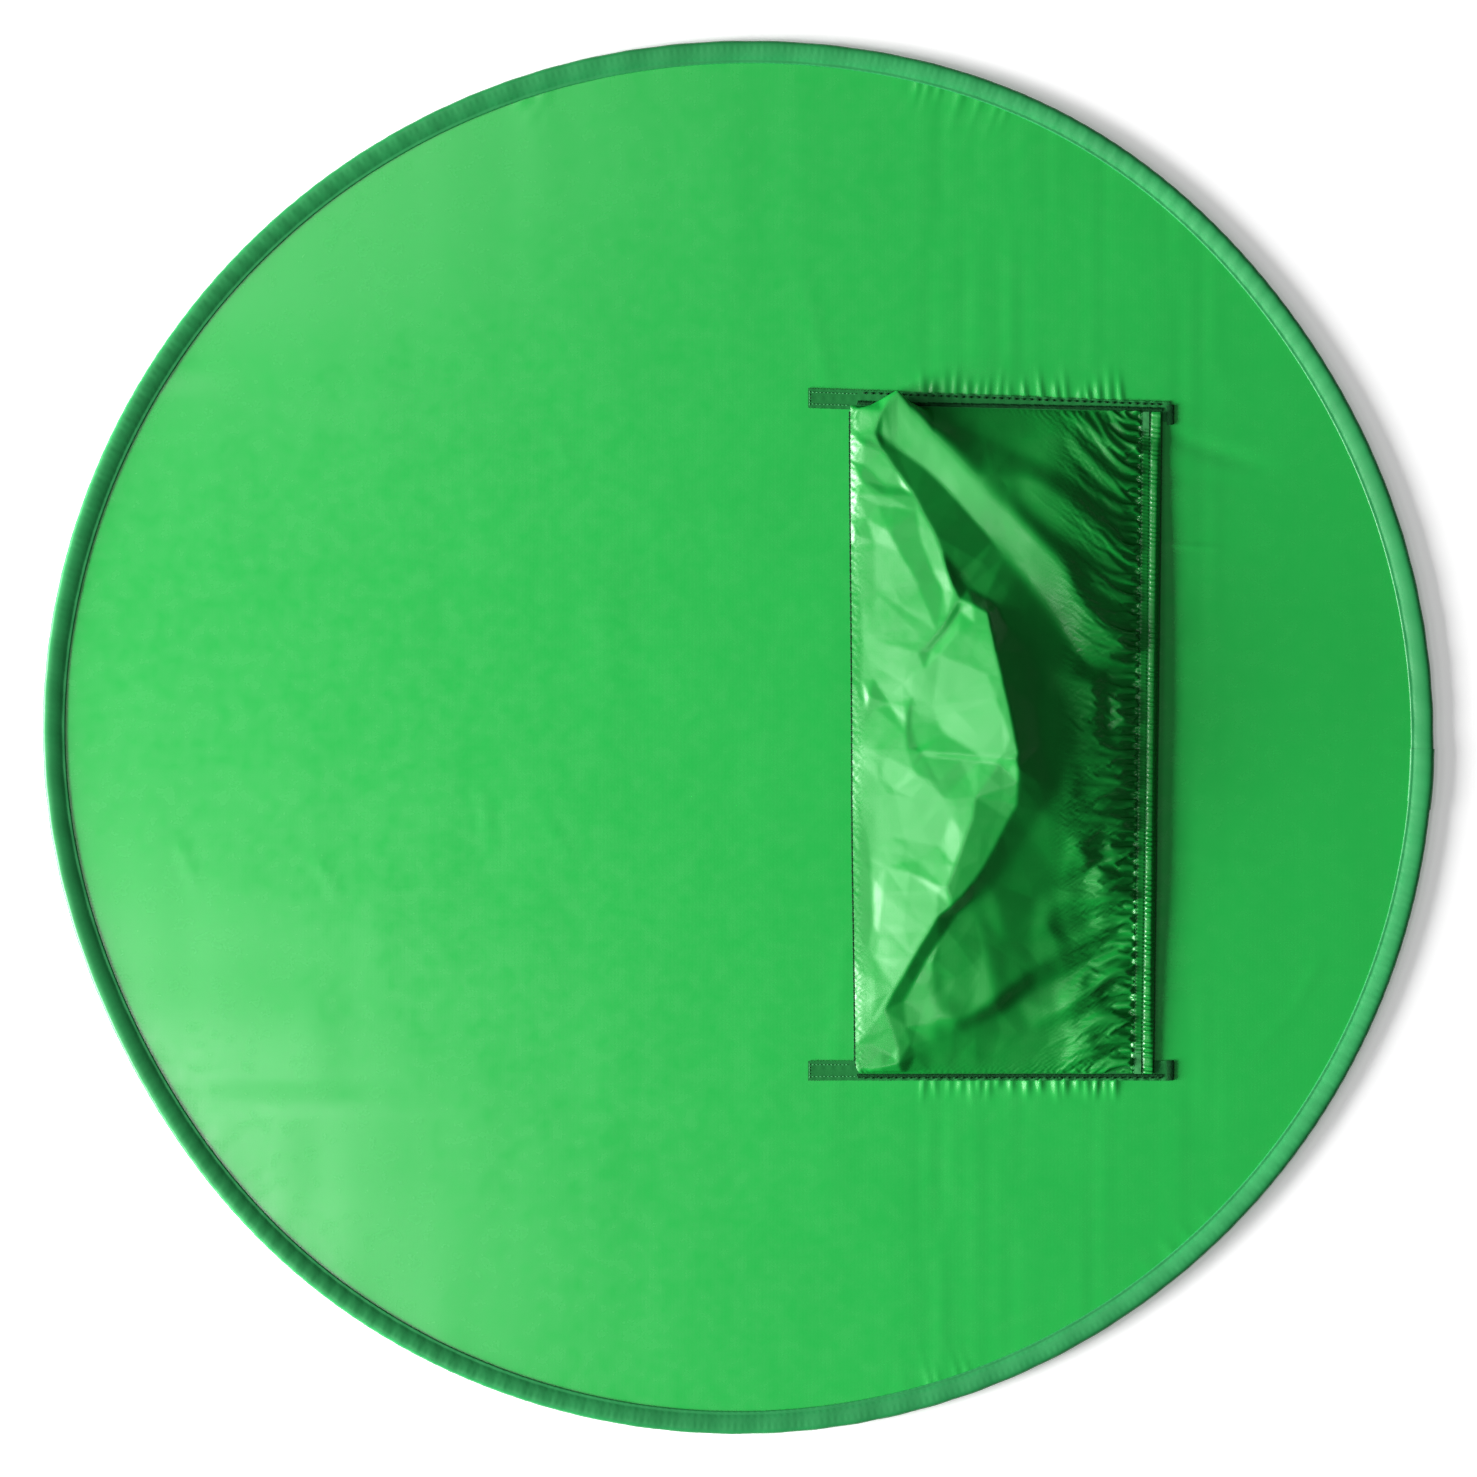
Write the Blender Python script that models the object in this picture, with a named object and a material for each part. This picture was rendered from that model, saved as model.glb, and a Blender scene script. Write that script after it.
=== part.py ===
"""Round pop-up backdrop, 1.42 m across, with a chair-back pocket sewn to its rear face.

The disc lies flat: +Z is up and away from the surface it rests on, the pocket is on top, and the
pocket's mouth faces +X. The origin is the disc's centre at the level of the rim's underside.
A spring-steel hoop runs inside a folded binding, and the binding grips the edge of the screen.
The pocket's front ply turns about its closed end: its mouth lifts to take a chair back.
"""

import math

import bmesh
import bpy
from mathutils import Matrix, Vector

# Rim outline. The hoop isn't a true circle: it bulges at one place and is flatter at another.
RIM_RADIUS = 0.7104
BULGE = 0.0094
BULGE_DEG = 62.0
FLAT = 0.0076
FLAT_DEG = 207.0
WAVE_WIDTH_DEG = 20.0
RIM_STEPS = 90
RIM_STEP_DEG = 360.0 / RIM_STEPS

# Section of the rim.
MID_Z = 0.0057
CLEARANCE = 0.0003
BAND_HEIGHT = 0.008
BAND_THICKNESS = 0.001
BAND_INSET = 0.003
CLOTH = 0.0006
BINDING_WIDTH = 0.022
BINDING_SEAM_WIDTH = 0.0025
BINDING_TOP_WIDTH = 0.0041
BINDING_CORNER = 0.0012
BINDING_EDGE_DROP = 0.0021
SCREEN_INSET = 0.012
SCREEN_TOP = MID_Z + CLOTH / 2
THREAD_WIDTH = 0.0009
THREAD_HEIGHT = 0.0004

# Splice of the steel band, centred on one vertex of the faceted rim.
SPLICE_DEG = -RIM_STEP_DEG
BUTT_GAP_DEG = 0.05
SLEEVE_HALF_DEG = 2.6
SLEEVE_WALL = 0.0005
RIVET_DEG = RIM_STEP_DEG / 2
RIVET_HOLE_RADIUS = 0.0015
RIVET_SHANK_RADIUS = 0.0012
RIVET_HEAD_RADIUS = 0.00225
RIVET_HEAD_HEIGHT = 0.0005
OVERLAP_START_DEG = -6.4
OVERLAP_END_DEG = -0.9

# Side tapes, which lie on the screen under the pocket's side edges.
TAPE_LENGTH = 0.370
TAPE_WIDTH = 0.020
TAPE_THICKNESS = 0.0008
TAPE_CENTRE_X = 0.257
UPPER_TAPE_Y = 0.3402
UPPER_TAPE_TURN_DEG = -2.2
LOWER_TAPE_Y = -0.3397
TAPE_ROW_OFFSET = 0.006
TAPE_ROW_START = 0.003
TAPE_ROW_END = 0.008
STUB_LENGTH = 0.040
TAPE_BOTTOM = SCREEN_TOP + CLEARANCE
TAPE_TOP = TAPE_BOTTOM + TAPE_THICKNESS
TACK_HEIGHT = 0.0011

# Pocket front ply: plan, then its rise above the seams.
CLOSED_END_X = 0.118
PANEL_END_X = 0.408
MOUTH_X = 0.4365
UPPER_EDGE_Y = 0.340
UPPER_EDGE_SLOPE = -0.022
LOWER_EDGE_Y = -0.3425
PLY = 0.001
PANEL_BASE = TAPE_TOP + CLEARANCE
CREST_HEIGHT = 0.056
CREST_AT = 0.53
MOUTH_HEIGHT = 0.024
ARCH_POWER = 2.4
PANEL_COLUMNS = 12
PANEL_ROWS = 24
TURNING_WIDTH = 0.012
TURNING_REACH = 0.322
SEAM_GAP = 0.0005
SEAM_START = 0.003

# Mouth hem: a casing round the elastic, with a row of stitches on each side of it.
HEM_START_X = PANEL_END_X + 0.0006
HEM_THICKNESS = 0.0032
ELASTIC_WIDTH = 0.008
ELASTIC_THICKNESS = 0.001
ELASTIC_X = 0.4165
HEM_ROW_SPREAD = 0.0052
HEM_END = 0.985


def clear_scene():
    for item in list(bpy.data.objects):
        bpy.data.objects.remove(item, do_unlink=True)


def make_material(name, colour, roughness, metallic=0.0):
    material = bpy.data.materials.new(name)
    material.use_nodes = True
    shader = material.node_tree.nodes["Principled BSDF"]
    shader.inputs["Base Color"].default_value = (*colour, 1.0)
    shader.inputs["Roughness"].default_value = roughness
    shader.inputs["Metallic"].default_value = metallic
    return material


SCREEN_GREEN = (0.036, 0.546, 0.106)
BINDING_GREEN = (0.040, 0.300, 0.110)
TAPE_GREEN = (0.017, 0.220, 0.050)
POCKET_GREEN = (0.045, 0.540, 0.130)
THREAD_GREEN = (0.012, 0.150, 0.035)
STEEL_GREY = (0.300, 0.310, 0.320)
ELASTIC_GREEN = (0.030, 0.280, 0.070)


def add_object(name, mesh, colour, roughness, metallic=0.0):
    piece = bpy.data.objects.new(name, mesh)
    bpy.context.scene.collection.objects.link(piece)
    mesh.materials.append(make_material(name + "_finish", colour, roughness, metallic))
    return piece


def sweep_mesh(name, sections, closed):
    """A solid through a row of equal outlines, joined end to end or capped at both ends."""
    shape = bmesh.new()
    loops = [[shape.verts.new(point) for point in outline] for outline in sections]
    count = len(loops[0])
    pairs = list(zip(loops, loops[1:]))
    if closed:
        pairs.append((loops[-1], loops[0]))
    else:
        shape.faces.new(loops[0])
        shape.faces.new(loops[-1])
    for first, second in pairs:
        for i in range(count):
            j = (i + 1) % count
            shape.faces.new((first[i], first[j], second[j], second[i]))
    bmesh.ops.recalc_face_normals(shape, faces=shape.faces)
    mesh = bpy.data.meshes.new(name)
    shape.to_mesh(mesh)
    shape.free()
    return mesh


def add_cutter(name, mesh):
    cutter = bpy.data.objects.new(name, mesh)
    bpy.context.scene.collection.objects.link(cutter)
    cutter.display_type = "WIRE"
    cutter.hide_render = True
    return cutter


def cut(piece, cutter):
    modifier = piece.modifiers.new("cut_" + cutter.name, "BOOLEAN")
    modifier.operation = "DIFFERENCE"
    modifier.solver = "EXACT"
    modifier.object = cutter


# ---- rim ----


def wave(angle_deg, centre_deg):
    away = (angle_deg - centre_deg + 180.0) % 360.0 - 180.0
    return math.exp(-((away / WAVE_WIDTH_DEG) ** 2))


def rim_radius(angle_deg):
    bulge = BULGE * wave(angle_deg, BULGE_DEG)
    return RIM_RADIUS + bulge - FLAT * wave(angle_deg, FLAT_DEG)


def rim_vertex(index, inset):
    angle_deg = index * RIM_STEP_DEG
    radius = rim_radius(angle_deg) - inset
    angle = math.radians(angle_deg)
    return Vector((radius * math.cos(angle), radius * math.sin(angle)))


def rim_point(angle_deg, inset, height):
    """A point on the faceted rim: along the straight facet between two of its vertices."""
    place = angle_deg / RIM_STEP_DEG
    index = math.floor(place)
    flat = rim_vertex(index, inset).lerp(rim_vertex(index + 1, inset), place - index)
    return Vector((flat.x, flat.y, MID_Z + height))


def rim_section(angle_deg, profile):
    return [rim_point(angle_deg, inset, height) for inset, height in profile]


def box_profile(inset, half_width, half_height):
    left, right = inset + half_width, inset - half_width
    return [
        (left, -half_height),
        (right, -half_height),
        (right, half_height),
        (left, half_height),
    ]


def ring(name, profile, colour, roughness):
    angles = [i * RIM_STEP_DEG for i in range(RIM_STEPS)]
    mesh = sweep_mesh(name, [rim_section(a, profile) for a in angles], closed=True)
    return add_object(name, mesh, colour, roughness)


def arc_mesh(name, profile, start_deg, end_deg):
    first = math.floor(start_deg / RIM_STEP_DEG) + 1
    last = math.ceil(end_deg / RIM_STEP_DEG) - 1
    inner = [i * RIM_STEP_DEG for i in range(first, last + 1)]
    angles = [start_deg, *inner, end_deg]
    return sweep_mesh(name, [rim_section(a, profile) for a in angles], closed=False)


def binding_half_outline(offset):
    """Upper half of the folded binding, from its lip to its outer edge, grown by offset."""
    seam = CLOTH / 2 + CLEARANCE + CLOTH
    top = MID_Z
    lip = BINDING_WIDTH
    shoulder = BINDING_CORNER + BINDING_TOP_WIDTH
    return [
        (lip, seam + offset),
        (lip - BINDING_SEAM_WIDTH, seam + offset),
        (shoulder, top + offset),
        (BINDING_CORNER - offset * 0.5, top + offset),
        (-offset, top - BINDING_EDGE_DROP + offset * 0.5),
    ]


def mirrored(points):
    return [(inset, -height) for inset, height in reversed(points)]


def build_binding():
    outer = binding_half_outline(0.0)
    inner = binding_half_outline(-CLOTH)
    lower_cavity = [(inset, -height) for inset, height in inner]
    profile = [*outer, *mirrored(outer), *lower_cavity, *reversed(inner)]
    return ring("rim_binding", profile, BINDING_GREEN, 0.45)


def build_overlap():
    """The binding's end, lapped over its start on the top and the outer edge."""
    near = binding_half_outline(CLEARANCE)[1:]
    far = binding_half_outline(CLEARANCE + CLOTH)[1:]
    low = -(MID_Z - BINDING_EDGE_DROP)
    profile = [*near, (near[-1][0], low), (far[-1][0], low), *reversed(far)]
    mesh = arc_mesh("binding_end_overlap", profile, OVERLAP_START_DEG, OVERLAP_END_DEG)
    return add_object("binding_end_overlap", mesh, BINDING_GREEN, 0.4)


def build_screen():
    """The screen's cloth: a thin faceted disc whose edge lies between the binding's legs."""
    shape = bmesh.new()
    layers = []
    for height in (-CLOTH / 2, CLOTH / 2):
        angles = [i * RIM_STEP_DEG for i in range(RIM_STEPS)]
        loop = [shape.verts.new(rim_point(a, SCREEN_INSET, height)) for a in angles]
        centre = shape.verts.new((0.0, 0.0, MID_Z + height))
        for i, vertex in enumerate(loop):
            shape.faces.new((centre, vertex, loop[(i + 1) % RIM_STEPS]))
        layers.append(loop)
    low, high = layers
    for i in range(RIM_STEPS):
        j = (i + 1) % RIM_STEPS
        shape.faces.new((low[i], low[j], high[j], high[i]))
    bmesh.ops.recalc_face_normals(shape, faces=shape.faces)
    mesh = bpy.data.meshes.new("screen_fabric")
    shape.to_mesh(mesh)
    shape.free()
    return add_object("screen_fabric", mesh, SCREEN_GREEN, 0.6)


def build_rim_stitches():
    seam = CLOTH / 2 + CLEARANCE + CLOTH
    height = seam + CLEARANCE + THREAD_HEIGHT / 2
    inset = BINDING_WIDTH - BINDING_SEAM_WIDTH / 2
    half = THREAD_WIDTH / 2
    for name, side in (("rim_stitch_front", 1), ("rim_stitch_back", -1)):
        centre = side * height
        profile = box_profile(inset, half, THREAD_HEIGHT / 2)
        ring(name, [(i, h + centre) for i, h in profile], THREAD_GREEN, 0.6)


# ---- splice of the steel band ----


def radial_cylinder(name, angle_deg, sections):
    """A turned piece whose axis runs outward through the rim: (distance from band, radius)."""
    base = rim_point(angle_deg, BAND_INSET, 0.0)
    outward = Vector((base.x, base.y, 0.0)).normalized()
    across = Vector((-outward.y, outward.x, 0.0))
    up = Vector((0.0, 0.0, 1.0))
    sides = 16
    outlines = []
    for distance, radius in sections:
        centre = base + outward * distance
        turn = [2 * math.pi * i / sides for i in range(sides)]
        outlines.append(
            [centre + across * math.cos(a) * radius + up * math.sin(a) * radius for a in turn]
        )
    return sweep_mesh(name, outlines, closed=False)


def rivet_angles():
    return (SPLICE_DEG - RIVET_DEG, SPLICE_DEG + RIVET_DEG)


def rivet_cutters():
    reach = 0.004
    span = [(-reach, RIVET_HOLE_RADIUS), (reach, RIVET_HOLE_RADIUS)]
    return [
        add_cutter(f"rivet_hole_{n}", radial_cylinder(f"rivet_hole_{n}", angle, span))
        for n, angle in enumerate(rivet_angles(), 1)
    ]


def build_band(holes):
    profile = box_profile(BAND_INSET, BAND_THICKNESS / 2, BAND_HEIGHT / 2)
    start = SPLICE_DEG + BUTT_GAP_DEG
    end = SPLICE_DEG + 360.0 - BUTT_GAP_DEG
    mesh = arc_mesh("hoop_band", profile, start, end)
    band = add_object("hoop_band", mesh, STEEL_GREY, 0.3, 1.0)
    for hole in holes:
        cut(band, hole)


def build_sleeve(holes):
    inner_width = BAND_THICKNESS / 2 + CLEARANCE
    inner_height = BAND_HEIGHT / 2 + CLEARANCE
    outer = box_profile(BAND_INSET, inner_width + SLEEVE_WALL, inner_height + SLEEVE_WALL)
    inner = box_profile(BAND_INSET, inner_width, inner_height)
    start, end = SPLICE_DEG - SLEEVE_HALF_DEG, SPLICE_DEG + SLEEVE_HALF_DEG
    mesh = arc_mesh("hoop_splice_sleeve", outer, start, end)
    sleeve = add_object("hoop_splice_sleeve", mesh, STEEL_GREY, 0.4, 1.0)
    run_out = 0.2
    passage = arc_mesh("sleeve_passage", inner, start - run_out, end + run_out)
    cut(sleeve, add_cutter("sleeve_passage", passage))
    for hole in holes:
        cut(sleeve, hole)


def build_rivets():
    near = BAND_THICKNESS / 2 + CLEARANCE + SLEEVE_WALL + CLEARANCE
    far = near + RIVET_HEAD_HEIGHT
    shank, head = RIVET_SHANK_RADIUS, RIVET_HEAD_RADIUS
    turned = [(-far, head), (-near, head), (-near, shank), (near, shank), (near, head), (far, head)]
    for n, angle in enumerate(rivet_angles(), 1):
        mesh = radial_cylinder(f"splice_rivet_{n}", angle, turned)
        add_object(f"splice_rivet_{n}", mesh, STEEL_GREY, 0.35, 1.0)


# ---- side tapes ----


def box_mesh(name, length, width, height):
    shape = bmesh.new()
    bmesh.ops.create_cube(shape, size=1.0)
    bmesh.ops.scale(shape, vec=(length, width, height), verts=shape.verts)
    mesh = bpy.data.meshes.new(name)
    shape.to_mesh(mesh)
    shape.free()
    return mesh


def tape_piece(name, side, size, offset, bottom, finish):
    """A flat box laid along one side tape: offset is along the tape and outward from it."""
    length, width, height = size
    piece = add_object(name, box_mesh(name, length, width, height), *finish)
    upper = side == "upper"
    turn = math.radians(UPPER_TAPE_TURN_DEG) if upper else 0.0
    along, outward = offset
    shift = Vector((along, outward if upper else -outward, 0.0))
    shift.rotate(Matrix.Rotation(turn, 3, "Z"))
    centre_y = UPPER_TAPE_Y if upper else LOWER_TAPE_Y
    piece.location = Vector((TAPE_CENTRE_X, centre_y, bottom + height / 2)) + shift
    piece.rotation_euler.z = turn
    return piece


def build_tapes():
    cloth = (TAPE_GREEN, 0.6)
    thread = (THREAD_GREEN, 0.6)
    row_z = TAPE_TOP + CLEARANCE
    row_length = TAPE_LENGTH - TAPE_ROW_START - TAPE_ROW_END
    row_x = (TAPE_ROW_START - TAPE_ROW_END) / 2
    stub_length = STUB_LENGTH - TAPE_ROW_START
    stub_x = -TAPE_LENGTH / 2 + TAPE_ROW_START + stub_length / 2
    tack_x = -TAPE_LENGTH / 2 + TAPE_ROW_START / 2
    for side in ("upper", "lower"):
        tape_size = (TAPE_LENGTH, TAPE_WIDTH, TAPE_THICKNESS)
        tape_piece(side + "_side_tape", side, tape_size, (0.0, 0.0), TAPE_BOTTOM, cloth)
        row = (row_length, THREAD_WIDTH, THREAD_HEIGHT)
        place = (row_x, TAPE_ROW_OFFSET)
        tape_piece(side + "_tape_stitch_outer", side, row, place, row_z, thread)
        row = (stub_length, THREAD_WIDTH, THREAD_HEIGHT)
        place = (stub_x, -TAPE_ROW_OFFSET)
        tape_piece(side + "_tape_stitch_inner", side, row, place, row_z, thread)
        tack = (THREAD_WIDTH, TAPE_WIDTH * 0.8, TACK_HEIGHT)
        tape_piece(side + "_tape_end_tack", side, tack, (tack_x, 0.0), row_z, thread)


def build_mouth_tacks():
    """Dense bars of thread that close the pocket's side seams at the mouth."""
    places = {"upper": (0.4418, 0.3300), "lower": (0.4418, -0.3395)}
    for side, (x, y) in places.items():
        mesh = box_mesh(side + "_mouth_tack", 0.0085, 0.020, TACK_HEIGHT)
        tack = add_object(side + "_mouth_tack", mesh, THREAD_GREEN, 0.7)
        tack.location = (x, y, TAPE_TOP + CLEARANCE + TACK_HEIGHT / 2)


# ---- pocket ----


def pocket_y(x, v):
    """Across the pocket: v runs from -1 at its lower seam to 1 at its upper seam."""
    upper = UPPER_EDGE_Y + UPPER_EDGE_SLOPE * (x - CLOSED_END_X)
    return LOWER_EDGE_Y + (upper - LOWER_EDGE_Y) * (v + 1.0) / 2.0


def arch(v):
    return 1.0 - abs(v) ** ARCH_POWER


def rise(x):
    """Height of the ply along its centre line, from the closed end over the crest to the mouth."""
    u = (x - CLOSED_END_X) / (PANEL_END_X - CLOSED_END_X)
    if u < CREST_AT:
        return CREST_HEIGHT * math.sin(math.pi / 2 * u / CREST_AT)
    fall = math.cos(math.pi / 2 * (u - CREST_AT) / (1.0 - CREST_AT))
    return MOUTH_HEIGHT + (CREST_HEIGHT - MOUTH_HEIGHT) * fall


def rows():
    return [-1.0 + 2.0 * i / PANEL_ROWS for i in range(PANEL_ROWS + 1)]


def build_panel():
    shape = bmesh.new()
    step = (PANEL_END_X - CLOSED_END_X) / PANEL_COLUMNS
    grid = []
    for i in range(PANEL_COLUMNS + 1):
        x = CLOSED_END_X + i * step
        points = [(x, pocket_y(x, v), PANEL_BASE + rise(x) * arch(v)) for v in rows()]
        grid.append([shape.verts.new(point) for point in points])
    for first, second in zip(grid, grid[1:]):
        for j in range(PANEL_ROWS):
            shape.faces.new((first[j], second[j], second[j + 1], first[j + 1]))
    mesh = bpy.data.meshes.new("pocket_panel")
    shape.to_mesh(mesh)
    shape.free()
    panel = add_object("pocket_panel", mesh, POCKET_GREEN, 0.35)
    ply = panel.modifiers.new("ply", "SOLIDIFY")
    ply.thickness = PLY
    ply.offset = 1.0
    mesh.shade_smooth()
    return panel


def hem_sections(centre_x, half_width, low, high):
    """Outlines across the mouth, which follow the height of the mouth's edge."""
    sections = []
    for v in rows():
        v = v * HEM_END
        base = PANEL_BASE + MOUTH_HEIGHT * arch(v)
        y = pocket_y(centre_x, v)
        left, right = centre_x - half_width, centre_x + half_width
        corners = [(left, low), (right, low), (right, high), (left, high)]
        sections.append([Vector((x, y, base + height)) for x, height in corners])
    return sections


def stretch_ends(sections, reach):
    sections[0] = [point - Vector((0.0, reach, 0.0)) for point in sections[0]]
    sections[-1] = [point + Vector((0.0, reach, 0.0)) for point in sections[-1]]
    return sections


def build_hem():
    half = (MOUTH_X - HEM_START_X) / 2
    outer = hem_sections(HEM_START_X + half, half, 0.0, HEM_THICKNESS)
    hem = add_object(
        "pocket_mouth_hem", sweep_mesh("pocket_mouth_hem", outer, False), POCKET_GREEN, 0.35
    )
    middle = HEM_THICKNESS / 2
    room = ELASTIC_THICKNESS / 2 + CLEARANCE
    passage = hem_sections(ELASTIC_X, ELASTIC_WIDTH / 2 + CLEARANCE, middle - room, middle + room)
    passage = stretch_ends(passage, 0.002)
    cut(hem, add_cutter("elastic_passage", sweep_mesh("elastic_passage", passage, False)))
    low, high = middle - ELASTIC_THICKNESS / 2, middle + ELASTIC_THICKNESS / 2
    strip = hem_sections(ELASTIC_X, ELASTIC_WIDTH / 2, low, high)
    mesh = sweep_mesh("mouth_elastic", strip, False)
    elastic = add_object("mouth_elastic", mesh, ELASTIC_GREEN, 0.8)
    return [hem, elastic]


def build_hem_stitches():
    pieces = []
    low = HEM_THICKNESS + CLEARANCE
    for name, side in (("hem_stitch_inner", -1), ("hem_stitch_outer", 1)):
        x = ELASTIC_X + side * HEM_ROW_SPREAD
        sections = hem_sections(x, THREAD_WIDTH / 2, low, low + THREAD_HEIGHT)
        mesh = sweep_mesh(name, sections, False)
        pieces.append(add_object(name, mesh, THREAD_GREEN, 0.6))
    return pieces


def thread_row(name, path, across):
    """A thin strip of thread through the points of path, square in section."""
    side = Vector(across) * (THREAD_WIDTH / 2)
    up = Vector((0.0, 0.0, THREAD_HEIGHT))
    sections = [[p - side, p + side, p + side + up, p - side + up] for p in path]
    return add_object(name, sweep_mesh(name, sections, False), THREAD_GREEN, 0.6)


def build_seam_stitches():
    """Threads in the groove just outside the ply's three sewn edges."""
    half_width = THREAD_WIDTH / 2
    x = CLOSED_END_X - SEAM_GAP - half_width
    z = SCREEN_TOP + CLEARANCE
    path = [Vector((x, -TURNING_REACH, z)), Vector((x, TURNING_REACH, z))]
    thread_row("closed_end_stitch", path, (1.0, 0.0, 0.0))
    z = TAPE_TOP + CLEARANCE
    for name, v in (("upper_side_seam_stitch", 1.0), ("lower_side_seam_stitch", -1.0)):
        shift = v * (SEAM_GAP + half_width)
        ends = (CLOSED_END_X + SEAM_START, MOUTH_X - SEAM_START)
        path = [Vector((end, pocket_y(end, v) + shift, z)) for end in ends]
        thread_row(name, path, (0.0, 1.0, 0.0))


def build_turning():
    """The front ply's edge, folded under at the closed end and sewn to the screen."""
    mesh = box_mesh("closed_end_turning", TURNING_WIDTH, 2 * TURNING_REACH, CLOTH)
    turning = add_object("closed_end_turning", mesh, POCKET_GREEN, 0.4)
    x = CLOSED_END_X + 0.002 + TURNING_WIDTH / 2
    turning.location = (x, 0.0, SCREEN_TOP + CLEARANCE + CLOTH / 2)


def hang_on_axis(pieces):
    """Parents the pocket's pieces to an empty on the axis that the mouth lifts about."""
    axis = bpy.data.objects.new("pocket_lift_axis", None)
    axis.location = (CLOSED_END_X, 0.0, SCREEN_TOP)
    bpy.context.scene.collection.objects.link(axis)
    for piece in pieces:
        piece.parent = axis
        piece.location = -axis.location


def main():
    clear_scene()
    build_screen()
    build_binding()
    build_overlap()
    build_rim_stitches()
    holes = rivet_cutters()
    build_band(holes)
    build_sleeve(holes)
    build_rivets()
    build_tapes()
    build_mouth_tacks()
    build_turning()
    build_seam_stitches()
    pocket = [build_panel(), *build_hem(), *build_hem_stitches()]
    hang_on_axis(pocket)


main()
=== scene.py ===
"""Looks of the round pop-up backdrop: its screen, rim binding, side tapes and creased chair pocket.

The pocket's front ply starts as a height over its seams, set by the listed folds. A small cloth solver
then lets it gather and pucker. Lengths are in metres, or in millimetres where a comment says so.
"""

import math

import bpy
import numpy as np
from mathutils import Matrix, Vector
from mathutils.geometry import delaunay_2d_cdt


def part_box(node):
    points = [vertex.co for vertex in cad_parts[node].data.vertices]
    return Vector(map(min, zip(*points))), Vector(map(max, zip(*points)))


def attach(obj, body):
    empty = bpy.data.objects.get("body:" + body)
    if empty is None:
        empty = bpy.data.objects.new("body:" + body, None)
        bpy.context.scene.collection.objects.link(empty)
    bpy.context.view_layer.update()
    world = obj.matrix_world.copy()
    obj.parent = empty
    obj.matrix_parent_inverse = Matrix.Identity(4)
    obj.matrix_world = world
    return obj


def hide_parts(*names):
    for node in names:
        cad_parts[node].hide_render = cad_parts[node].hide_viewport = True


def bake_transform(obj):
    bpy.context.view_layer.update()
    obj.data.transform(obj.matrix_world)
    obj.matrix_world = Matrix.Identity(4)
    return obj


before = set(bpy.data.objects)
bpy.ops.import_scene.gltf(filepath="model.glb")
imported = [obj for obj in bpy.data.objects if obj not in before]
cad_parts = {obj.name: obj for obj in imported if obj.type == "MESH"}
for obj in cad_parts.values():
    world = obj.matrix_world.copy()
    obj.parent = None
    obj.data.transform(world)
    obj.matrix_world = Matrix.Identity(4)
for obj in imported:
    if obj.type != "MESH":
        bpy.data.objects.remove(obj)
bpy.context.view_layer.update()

MM = 0.001
SEED = 7
SIGN = {"upper": 1.0, "lower": -1.0}


# ---- places, from the frame where it has them ----

SCREEN_LOW, SCREEN_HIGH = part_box("screen_fabric")
MID_Z = (SCREEN_LOW.z + SCREEN_HIGH.z) / 2
PANEL_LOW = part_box("pocket_panel")[0]
HEM_TURN = 0.0045
CLOSED_X = PANEL_LOW.x
MOUTH_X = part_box("pocket_mouth_hem")[1].x - HEM_TURN
UPPER_Y = 0.3400
LOWER_Y = PANEL_LOW.y
SEAM_Z = PANEL_LOW.z - 0.0004
SPLIT_Y = -0.0185

TAPE_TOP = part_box("lower_side_tape")[1].z
TAPE_START_X, TAPE_END_X = 0.072, 0.442
TAPE_MIDDLE_X = 0.257
TAPE_WIDTH = 0.020
UPPER_TAPE_Y, LOWER_TAPE_Y = 0.3402, -0.3397
UPPER_TAPE_SLOPE = -0.0384
# Sewn outer edges of the tapes, where the screen puckers: the upper one is given at the tape's start.
UPPER_TAPE_EDGE, LOWER_TAPE_EDGE = 0.3573, -0.3500
TAPE_THICKNESS = 0.0007
UPPER_SEAM_SLOPE = -0.022

# Mean outer radius of the rim, and the radius at which lengths along the binding are counted.
BINDING_RADIUS = 0.71


def rim_harmonics(count=12):
    """The rim's outer radius round the disc, smoothed from the facets of the CAD binding."""
    points = np.array([v.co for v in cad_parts["rim_binding"].data.vertices])
    radius = np.hypot(points[:, 0], points[:, 1])
    angle = np.degrees(np.arctan2(points[:, 1], points[:, 0])) % 360.0
    step = 4.0
    bins = np.round(angle / step).astype(int) % int(360 / step)
    outer = np.array([radius[bins == i].max() for i in range(int(360 / step))])
    waves = np.fft.rfft(outer)
    waves[count:] = 0.0
    return waves / len(outer)


RIM_WAVES = rim_harmonics()


def rim_radius(angle):
    """Outer radius of the rim at an angle in radians; takes arrays."""
    angle = np.asarray(angle, float)
    total = np.full(angle.shape, RIM_WAVES[0].real)
    for order in range(1, len(RIM_WAVES)):
        total += 2.0 * (RIM_WAVES[order] * np.exp(1j * order * angle)).real
    return total


# ---- meshes ----


def unit(vectors):
    return vectors / np.maximum(np.linalg.norm(vectors, axis=-1, keepdims=True), 1e-12)


def xyz(x, y, z):
    """Points from three coordinates, each an array or one number for all."""
    return np.stack(np.broadcast_arrays(x, y, z), axis=-1)


def add_mesh(name, points, faces, material):
    mesh = bpy.data.meshes.new(name)
    mesh.from_pydata(np.reshape(points, (-1, 3)).tolist(), [], faces)
    mesh.update()
    mesh.shade_smooth()
    mesh.materials.append(material)
    piece = bpy.data.objects.new(name, mesh)
    bpy.context.scene.collection.objects.link(piece)
    return piece


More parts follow.
